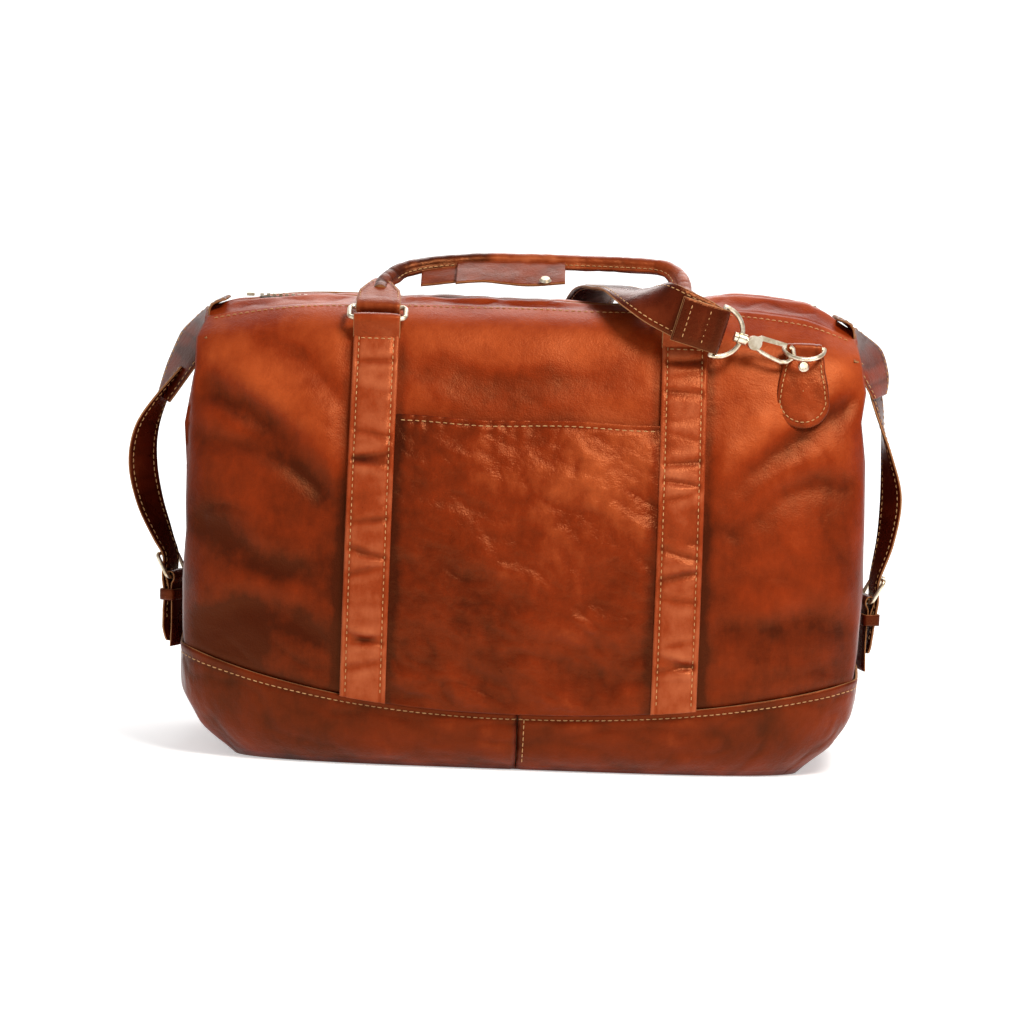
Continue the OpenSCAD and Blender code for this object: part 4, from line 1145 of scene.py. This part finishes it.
def grip_mesh(name, lean, seed):
    route = catmull(HANDLE_ROUTE, 14)
    s = unit(np.gradient(route, axis=0))
    outer = np.array([0.0, 1.0, 0.0])
    inner = np.cross(s, outer)
    inner = np.where((inner[:, 2:3] > 0) & (np.abs(route[:, 0:1]) < 100), -inner, inner)
    centre = np.array([0.0, 0, 30.0])
    inner = np.where(np.sum(inner * (centre - route), 1, keepdims=True) < 0, -inner, inner)
    angles = np.linspace(0, 2 * math.pi, 32, endpoint=False)
    along = np.cumsum(np.r_[0, np.linalg.norm(np.diff(route, axis=0), axis=1)])
    fin = ease(0, 26, along) * ease(0, 26, along[-1] - along)
    rings, reliefs = [], []
    for i in range(len(route)):
        from_inner = np.abs((angles + math.pi) % (2 * math.pi) - math.pi)
        sewn = -0.5 * np.exp(-((from_inner - 0.42) / 0.12) ** 2)
        bumps = 0.5 * ripple(np.cos(angles) * 7, np.sin(angles) * 7, along[i], 13.0, 80 + seed)
        bumps = bumps + 0.55 * creases(np.cos(angles) * 5, np.sin(angles) * 5, along[i] * 1.3, 15.0,
                                       81 + seed)
        r = 6.5 + bumps * 0.8 + sewn
        reach = r + 4.6 * fin[i] * np.exp(-(from_inner / 0.26) ** 2)
        p = route[i] + inner[i] * (reach * np.cos(angles))[:, None] + outer * (r * np.sin(angles))[:, None]
        rings.append(p)
        reliefs.append(bumps + sewn)
    rings = lean(np.array(rings))
    tone = -0.30 * ease(-30, -36, route[:, 0])[:, None] + 0.05
    obj = closed_mesh(name, rings, [0] * 32, [grip_leather, raw_edge], np.array(reliefs), tone)
    line = lean(route + inner * 8.2 + outer * -2.0)
    normals = lean(route + inner * 8.2 + outer * -6.0) - line
    keep = slice(30, -24)
    return obj, line[keep], normals[keep]


def tab_mesh(name, x, lean, seed):
    path = [(-2.0, 44), (-2.5, 36), (-2.9, 24), (-3.4, 12), (-3.9, 3), (-3.0, -2.6), (0, -4.0), (3.0, -2.6),
            (3.9, 3),
            (3.4, 12), (2.9, 24), (2.5, 36), (2.0, 44)]
    wide = [10, 19, 31, 34, 34, 34, 34, 34, 34, 34, 31, 19, 10]
    route = np.array([(x, y, z) for y, z in path], float)
    across = np.tile([1.0, 0, 0], (len(path), 1))
    steps = 5
    dense = catmull(route, steps)
    widths = np.interp(np.arange(len(dense)) / steps, np.arange(len(wide)), wide)
    ac = catmull(across, steps)
    return ribbon_mesh(name, lean(dense), ac, widths, 2.2, [grip_leather, raw_edge], seed=seed, wrinkle=0.2)


for name, lean, body, seed in (("front", lean_front, "front_handle", 1),
                               ("back", lean_back, "back_handle", 2)):
    grip, line, normals = grip_mesh(f"grip_{name}", lean, seed)
    finish_piece(grip, body, "handle_leather", f"handle_{name}")
    stitch_row(f"grip_stitch_{name}", line, normals, body, "handle_leather", pitch=4.6)
    for tag, s in (("left", -1), ("right", 1)):
        tab = tab_mesh(f"grip_tab_{name}_{tag}", s * STRAP_X, lean, seed)
        finish_piece(tab, body, "handle_leather", f"handle_{name}")
        for face in (-1, 1):
            rim = np.array([(-15, 6), (-15, 18), (-12.5, 25), (-6.5, 36), (6.5, 36), (12.5, 25), (15, 18),
                            (15, 6)], float)
            rim = catmull(np.stack([rim[:, 0] + s * STRAP_X, np.full(8, face * 4.4), rim[:, 1]], 1), 5)
            out = lean(rim + [0, face * 3, 0]) - lean(rim)
            stitch_row(f"tab_stitch_{name}_{tag}_{face + 1}", lean(rim), out, body, "handle_leather",
                       pitch=4.2, long=3.0)
print("handles rolled")

# %% [markdown]
# ## The handle wrap
# When both handles are held together, a soft leather wrap is folded round them and closed with
# a press stud. Here it hangs open from the front grip as two overlapping leaves with raw edges.
# %% Wrap
def grip_floor(x):
    """Height of the grip's lower side along the handle."""
    line = catmull(HANDLE_ROUTE, 14)
    keep = line[(line[:, 0] > -110) & (line[:, 0] < 100)]
    return np.interp(x, keep[:, 0], keep[:, 2])


def wrap_leaf(name, x0, x1, drop, y0, seed, curl):
    u, t = np.meshgrid(np.linspace(x0, x1, 60), np.linspace(0, 1, 24))
    wave = 1.5 * np.sin(u * 0.06 + seed) * t
    z = grip_floor(u) - 5.0 - (drop + 1.5 * np.sin(u * 0.09 + seed)) * t
    y = y0 - curl * t ** 2 + wave * 0.6 + 0.5 * ripple(u, seed, z, 16.0, 85 + seed)
    grid = lean_front(np.stack([u, y, z], -1)[::-1])
    return sheet_mesh(name, grid, 2.0, [grip_leather, raw_edge],
                      to_relief(0.6 * ripple(u, seed, z, 12.0, 86)), -0.12)


inner = wrap_leaf("handle_wrap_inner_leaf", -90, 22, 25, -0.6, 1, -2.0)
outer = wrap_leaf("handle_wrap_outer_leaf", -62, 26, 35, -2.8, 2, -1.2)
for piece in (inner, outer):
    finish_piece(piece, "front_handle", "handle_leather", "handle_wrap")
print("wrap hung")

# %% [markdown]
# ## Teardrop tabs of the D-rings
# A teardrop patch carries each D-ring. It lies on the panel, rises towards the ring's bar and is
# folded over it, with a row of stitches just inside its border and a domed rivet in the middle.
# %% Teardrop tabs
TAB_X, TAB_Z = 216.0, 325.0
tab_depth = float(front_depth(TAB_X, TAB_Z)) + 5.0
tab_tilt = math.radians(20.15)


def on_tab(points):
    """From the tab's own frame (x across, y out of the bag as minus, z up) to the front of the bag."""
    p = np.asarray(points, float)
    a = -tab_tilt
    return np.stack([p[..., 0] + TAB_X, p[..., 1] * math.cos(a) - p[..., 2] * math.sin(a) - tab_depth,
                     p[..., 1] * math.sin(a) + p[..., 2] * math.cos(a) + TAB_Z], -1)


def teardrop(count):
    """Outline of the tab: straight sides that widen down to a round foot."""
    foot = [(21.5 * math.cos(a), -28 + 21.5 * math.sin(a))
            for a in np.linspace(math.pi + 0.1, 2 * math.pi - 0.1, 40)]
    outline = [(-14.5, 12), (-17, -2), (-19.5, -14)] + foot + [(19.5, -14), (17, -2), (14.5, 12)]
    line = catmull([(x, 0, z) for x, z in outline] + [(0, 0, 12.5), (-14.5, 0, 12)], 3)
    run = np.r_[0, np.cumsum(np.linalg.norm(np.diff(line, axis=0), axis=1))]
    at = np.linspace(0, run[-1], count, endpoint=False)
    return np.stack([np.interp(at, run, line[:, k]) for k in range(3)], 1)


def tab_sink(x, z):
    """How far below its own flat plane the tab droops onto the panel, clear of the rivet."""
    wide = np.abs(x) / 21.0
    return 3.0 * ease(-8, -46, z) + 0.4 * wide ** 2


def teardrop_mesh(name, turn):
    rim = teardrop(96)
    middle = np.array([0.0, 0.0, -20.0])
    shares = np.array([0.02, 0.2, 0.4, 0.6, 0.72, 0.79, 0.85, 0.92, 0.97, 1.0])
    fronts, reliefs = [], []
    for f in shares:
        p = middle + (rim - middle) * f
        puff = 0.7 * (1 - f ** 4) - 0.7 * math.exp(-((f - 0.84) / 0.035) ** 2) - 0.9 * ease(0.93, 1.0, f)
        rough = 0.35 * ripple(p[:, 0], 5, p[:, 2], 9.0, 91)
        quiet = 1 - np.exp(-((p[:, 0]) ** 2 + p[:, 2] ** 2) / 60)
        p[:, 1] = -(1.4 + (puff + rough - 0.4) * quiet) + tab_sink(p[:, 0], p[:, 2])
        fronts.append(p)
        reliefs.append(rough * 1.4 + puff * 0.6)
    backs = []
    for f in shares[::-1]:
        p = middle + (rim - middle) * f
        p[:, 1] = 1.1 + tab_sink(p[:, 0], p[:, 2])
        backs.append(p)
        reliefs.append(np.zeros(len(rim)))
    rings = on_tab(np.array(fronts + backs))
    if turn:
        rings = rings * np.array([-1, -1, 1])
    return closed_mesh(name, rings, [0] * len(rim), [strap_leather, raw_edge], np.array(reliefs), -0.06)


for name, turn in (("front", False), ("back", True)):
    flip = np.array([-1, -1, 1]) if turn else np.array([1, 1, 1])
    piece = teardrop_mesh(f"teardrop_tab_{name}", turn)
    finish_piece(piece, "root", "strap_leather", f"d_ring_tab_{name}")
    path = [(-1.6, 6.2), (-3.8, 8.4), (-5.6, 12), (-5.6, 15.5), (-2.4, 17.4), (0.6, 15.4), (1.2, 9)]
    route = catmull([(0, y, z) for y, z in path], 5)
    ring_side = ribbon_mesh(f"teardrop_fold_{name}", on_tab(route) * flip,
                            np.tile([1.0, 0, 0], (len(route), 1)),
                            np.full(len(route), 27.0), 2.0, [strap_leather, raw_edge], seed=5, wrinkle=0.15)
    finish_piece(ring_side, "root", "strap_leather", f"d_ring_tab_{name}")
    rim = teardrop(120)
    inside = np.array([0.0, 0.0, -20.0]) + (rim - [0, 0, -20]) * 0.84
    inside = inside[inside[:, 2] < 4]
    start = int(np.argmax(np.linalg.norm(np.diff(inside, axis=0), axis=1))) + 1
    inside = np.roll(inside, -start, axis=0) if np.linalg.norm(inside[0] - inside[-1]) < 6 else inside
    inside[:, 1] = -1.1 + tab_sink(inside[:, 0], inside[:, 2])
    stitch_row(f"teardrop_stitch_{name}", on_tab(inside) * flip,
               np.tile([0, -1, 0.3], (len(inside), 1)) * flip, "root",
               "strap_leather", pitch=4.2, long=3.0)
print("teardrops sewn")

# %% [markdown]
# ## Shoulder strap
# The long strap is a darker, glossier leather. It leaves the front hook, crosses the top under
# the front handle, drops behind the bag in a slack loop and comes back up to the rear hook,
# where a buckle joins its two lengths. Each end is folded round a swivel's bar and sewn.
# %% Shoulder strap
SHOULDER_ROUTE = [(146.6, -93.7, 351.5), (124, -93, 361), (104, -90, 370), (88, -76, 376), (75, -46, 378.5),
                  (66, -8, 378.5),
                  (58, 30, 377), (51, 62, 370), (44, 83, 352), (38, 94, 322), (31, 107, 277),
                  (22, 115, 249), (4, 139, 195),
                  (-26, 157, 140), (-64, 162, 100), (-108, 161, 94), (-150, 159, 112), (-184, 151, 150),
                  (-206, 138, 200),
                  (-216, 122, 246), (-216, 111.7, 274.3)]
SHOULDER_ACROSS = [(5.6, 0.9, 8), (5, 1, 8), (6, 1, 7), (8, 2, 4), (10, 1, 0), (10, 1, 0), (10, 0, 0),
                   (10, 0, 0), (10, 0, 0),
                   (10, 0, 0), (10, 0, 1), (10, 0, 1), (9, 5, 1), (3, 9, 1), (0, 10, 0), (0, 10, 0),
                   (-1, 10, 0), (-4, 9, 0),
                   (-8, 5, 0), (-10, 1, -2), (-9, 0, -4.5)]
dense = 3
shoulder_path = catmull(SHOULDER_ROUTE, 4 * dense)
shoulder_wide = catmull(SHOULDER_ACROSS, 4 * dense)
SHOULDER_T = 3.4


def strap_length(name, first, last, lift, seed):
    a, b = first * dense, last * dense
    route, across = shoulder_path[a:b + 1], shoulder_wide[a:b + 1]
    ends = np.minimum(np.arange(len(route)), np.arange(len(route))[::-1])
    widths = 35 + 3 * ease(2, 8, ends) if first == 0 or last > 75 else np.full(len(route), 38.0)
    obj = ribbon_mesh(name, route, across, widths, SHOULDER_T, [dark_leather, raw_edge], seed=seed,
                      wrinkle=0.45, lift=lift)
    s, side, up = route_frames(route, across)
    for tag, u in (("a", -1), ("b", 1)):
        for face in (-1, 1):
            line = route + side * (u * 15.4) + up * (face * (SHOULDER_T / 2 - 0.1) + lift)
            stitch_row(f"{name}_stitch_{tag}_{face + 1}", line, up * face, "root", "dark_strap_leather")
    return finish_piece(obj, "root", "dark_strap_leather", name.replace("_hide", ""))


strap_length("shoulder_strap_long_hide", 0, 70, 0.0, 6)
strap_length("shoulder_strap_short_hide", 58, 80, -SHOULDER_T - 0.8, 7)
joints = {j["name"]: j for j in frame["joints"]}


def swivel_axes(name):
    """Middle, bar direction and hook direction of a swivel, from its joints."""
    bar, pull = joints[f"{name}_swivel_swing"], joints[f"{name}_hook_turn"]
    middle = np.array(bar["pos_m"]) / MM
    return middle, unit(np.array(bar["axis"], float)), unit(np.array(pull["axis"], float))


for name, node, lift in (("front", "shoulder_strap_long", 0.0), ("back", "shoulder_strap_short", 0.0)):
    middle, bar, pull = swivel_axes(name)
    y = np.cross(bar, pull)
    fold = [(-34, -2.8), (-26, -3.3), (-12, -3.9), (-3, -4.4), (2.4, -3.4), (4.2, 0), (2.4, 3.4), (-3, 4.4),
            (-12, 3.6),
            (-26, 3.0), (-34, 2.6)]
    shrink = 1.0 if name == "front" else 0.7
    route = catmull([middle + pull * a * (shrink if a < -10 else 1) + y * b for a, b in fold], 4)
    across = np.tile(bar, (len(route), 1))
    piece = ribbon_mesh(f"strap_end_fold_{name}", route, across, np.full(len(route), 35.0), 2.4,
                        [dark_leather, raw_edge],
                        seed=8, wrinkle=0.3)
    finish_piece(piece, "root", "dark_strap_leather", node)
    for row in (-11.0, -27.0 * shrink):
        for face in (-1, 1):
            line = np.array([middle + pull * row + bar * v + y * face * 5.0
                             for v in np.linspace(-14, 14, 12)])
            stitch_row(f"strap_end_stitch_{name}_{int(-row)}_{face + 1}", line, np.tile(y * face, (12, 1)),
                       "root",
                       "dark_strap_leather", pitch=4.2, long=3.0)
print("shoulder strap sewn")


# %% Keepers of the shoulder strap
def keeper_ring(name, middle, x_axis, y_axis, along, half_x, half_y, wide, materials, slot, node, seed):
    """A closed leather loop round a strap; x and y are across the strap, and wide is along it."""
    corner = 2.0
    path = []
    for cx, cy, start in ((1, 1, 0), (-1, 1, 90), (-1, -1, 180), (1, -1, 270)):
        for a in (0, 30, 60, 90):
            r = math.radians(start + a)
            path.append(((half_x - corner) * cx + corner * math.cos(r), (half_y - corner) * cy
                         + corner * math.sin(r)))
    loop = []
    for k, (px, py) in enumerate(path):
        qx, qy = path[(k + 1) % len(path)]
        steps = max(1, int(math.hypot(qx - px, qy - py) / 3))
        loop += [(px + (qx - px) * f / steps, py + (qy - py) * f / steps) for f in range(steps)]
    route = np.array([middle + x_axis * a + y_axis * b for a, b in loop])
    out = np.roll(route, -1, 0) - np.roll(route, 1, 0)
    s = unit(out)
    side = np.tile(along, (len(route), 1))
    up = np.cross(s, side)
    u = np.linspace(-1, 1, 7)
    rings, reliefs = [], []
    for i in range(len(route)):
        bump = 0.3 * ripple(u * 3, seed, i * 3.0, 9.0, 95)
        upper = [route[i] + side[i] * v * wide / 2 + up[i] * (0.9 * (1 - 0.4 * v ** 6) + b) for v,
                 b in zip(u, bump)]
        lower = [route[i] + side[i] * v * wide / 2 - up[i] * 0.9 for v in u[::-1]]
        rings.append(upper + lower)
        reliefs.append(np.concatenate([bump * 2, bump[::-1]]))
    slots = [0] * 6 + [1] + [0] * 6 + [1]
    obj = closed_mesh(name, np.array(rings), slots, materials, np.array(reliefs), 0.0, loop=True)
    return finish_piece(obj, "root", slot, node)


s_all, side_all, up_all = route_frames(shoulder_path, shoulder_wide)
for k, station_index in enumerate((59, 66)):
    i = station_index * dense
    keeper_ring(f"shoulder_keeper_{k + 1}", shoulder_path[i] + up_all[i] * (-SHOULDER_T - 0.8) / 2,
                side_all[i], up_all[i],
                s_all[i], 20.4, 5.4, 9.0, [dark_leather, raw_edge], "dark_strap_leather",
                "adjuster_keepers", k)

# %% [markdown]
# ## Tongues and side straps
# At each end the zip's leather runs on as a broad tongue, which hangs over the end. A side strap
# is sewn under it and goes down to a small buckle, so the ends can be drawn in. The straps are
# slack and bow away from the bag, each a little differently.
# %% Tongues
TONGUE_ROUTES = {
    "left": [(246, 0, 359), (257, 0, 354), (265, 0, 341), (273, -1, 323), (285, -2, 300), (296, -3, 276)],
    "right": [(246, 0, 361), (257, 0, 356), (266, 0, 343), (275, 0, 328), (282, 0, 312), (285, 0, 298)]}
TONGUE_ACROSS = [(0, 1, 0), (0, 1, 0), (0.25, 1, 0), (0.5, 0.9, 0), (0.5, 0.9, 0), (0.4, 0.9, 0)]
TONGUE_WIDTHS = [52, 60, 66, 62, 50, 34]
SIDE_ROUTES = {
    "left": [(282, -2, 302), (298, -4, 276), (309, -6, 250), (311, -7, 222), (305, -6, 192), (295, -2, 164),
             (288.2, 0, 148), (288.2, 0, 131), (286, 0, 116), (284.6, -2, 102), (284, -5, 88),
             (283, -7, 78)],
    "right": [(277, 0, 316), (283, 0, 296), (288, 1, 276), (294, 2, 248), (299, 2, 215), (296, 1, 180),
              (288.2, 0, 148), (288.2, 0, 131), (286, 0, 116), (284.6, -1, 104), (284, -2, 94),
              (283.6, -2, 88)]}
SIDE_ACROSS = {
    "left": [(0, 10, 0), (-3, 9, 0), (-6, 8, 0), (-7, 7, 0), (-5, 8, 0), (-2, 10, 0), (0, 10, 0),
             (0, 10, 0), (0, 10, 0),
             (-1, 10, 0), (-2, 10, 0), (-3, 9, 0)],
    "right": [(4, 9, 0), (4, 9, 0), (2, 10, 0), (-2, 10, 0), (-5, 9, 0), (-3, 10, 0), (0, 10, 0),
              (0, 10, 0), (0, 10, 0),
              (0, 10, 0), (0, 10, 0), (0, 10, 0)]}
SIDE_WIDTHS = [25, 25, 25, 25, 25, 25, 25, 25, 25, 24, 18, 6]
SIDE_TURN = {"left": 24.0, "right": 12.0}


def turned(points, degrees):
    """Turned about the upright line through the buckle, drawn for the right end."""
    a = np.radians(degrees)
    p = np.asarray(points, float)
    x, y, z = p[..., 0], p[..., 1], p[..., 2]
    return np.stack([x * np.cos(a) - y * np.sin(a), x * np.sin(a) + y * np.cos(a), z], -1)


PIVOT = np.array([282.0, 0, 0])
for side, way in (("left", -1), ("right", 1)):
    flip = np.array([way, 1, 1])
    route, across, widths = band_frames(TONGUE_ROUTES[side], TONGUE_ACROSS, TONGUE_WIDTHS, 9)
    across = across * flip
    piece = ribbon_mesh(f"zip_tongue_hide_{side}", route * flip, across, widths, 2.6, hide,
                        seed=9 + way, wrinkle=1.4, tone=-0.16)
    finish_piece(piece, "root", "shell_leather", f"zip_tongue_{side}")
    s, sd, up = route_frames(route * flip, across)
    for tag, u in (("a", -1), ("b", 1)):
        outward = up if float(np.sum(up[-1] * flip * [1, 0, 0])) > 0 else -up
        line = route * flip + sd * (u * (widths / 2 - 4.0))[:, None] + outward * 1.35
        stitch_row(f"tongue_stitch_{side}_{tag}", line, outward, "root", "shell_leather")
    bare, wide, widths = band_frames(SIDE_ROUTES[side], SIDE_ACROSS[side], SIDE_WIDTHS, 10)
    # The twist is laid in between the strap's top and the upper edge of its buckle
    angle = SIDE_TURN[side] * np.clip((292 - bare[:, 2]) / 122, 0, 1)
    bare = (PIVOT + turned(bare - PIVOT, angle)) * flip
    wide = turned(wide, angle) * flip
    piece = ribbon_mesh(f"side_strap_hide_{side}", bare, wide, widths, 2.8, [dark_leather, raw_edge],
                        seed=12 + way,
                        wrinkle=0.5)
    finish_piece(piece, "root", "dark_strap_leather", f"side_strap_{side}")
    s, sd, up = route_frames(bare, wide)
    for tag, u in (("a", -1), ("b", 1)):
        outward = up if float(np.sum(up[len(up) // 2] * flip * [1, 0, 0])) > 0 else -up
        keep = slice(0, 96)
        for face in (-1, 1):
            line = (bare + sd * (u * (widths / 2 - 3.4))[:, None] + outward * 1.35 * face)[keep]
            stitch_row(f"side_stitch_{side}_{tag}_{face + 1}", line, outward[keep] * face, "root",
                       "dark_strap_leather")
    # Chape: the folded piece that holds the buckle to the end
    chape = [(279.8, 0, 74), (279.2, 0, 92), (279.6, 0, 110), (280.2, 0, 124), (277.8, 0, 130),
             (279.6, 0, 134.6), (283.6, 0, 134.8), (285.2, 0, 130.6), (283.6, 0, 125), (281.4, 0, 116)]
    chape = catmull(chape, 5)
    turn_full = SIDE_TURN[side]
    chape_w = turned(np.tile([0, 1.0, 0], (len(chape), 1)), turn_full) * flip
    piece = ribbon_mesh(f"buckle_chape_{side}", (PIVOT + turned(chape - PIVOT, turn_full)) * flip, chape_w,
                        np.full(len(chape), 23.0), 1.9, [dark_leather, raw_edge], seed=3, wrinkle=0.2)
    finish_piece(piece, "root", "dark_strap_leather", f"side_chape_{side}")
    x_axis = turned(np.array([1.0, 0, 0]), turn_full) * flip
    y_axis = turned(np.array([0, 1.0, 0]), turn_full) * flip
    middle = (PIVOT + turned(np.array([283.0, 0, 116.5]) - PIVOT, turn_full)) * flip
    keeper_ring(f"side_keeper_loop_{side}", middle, y_axis, x_axis, np.array([0, 0, 1.0]), 14.2, 6.2, 9.0,
                [dark_leather, raw_edge], "dark_strap_leather", f"side_keeper_{side}", 4)
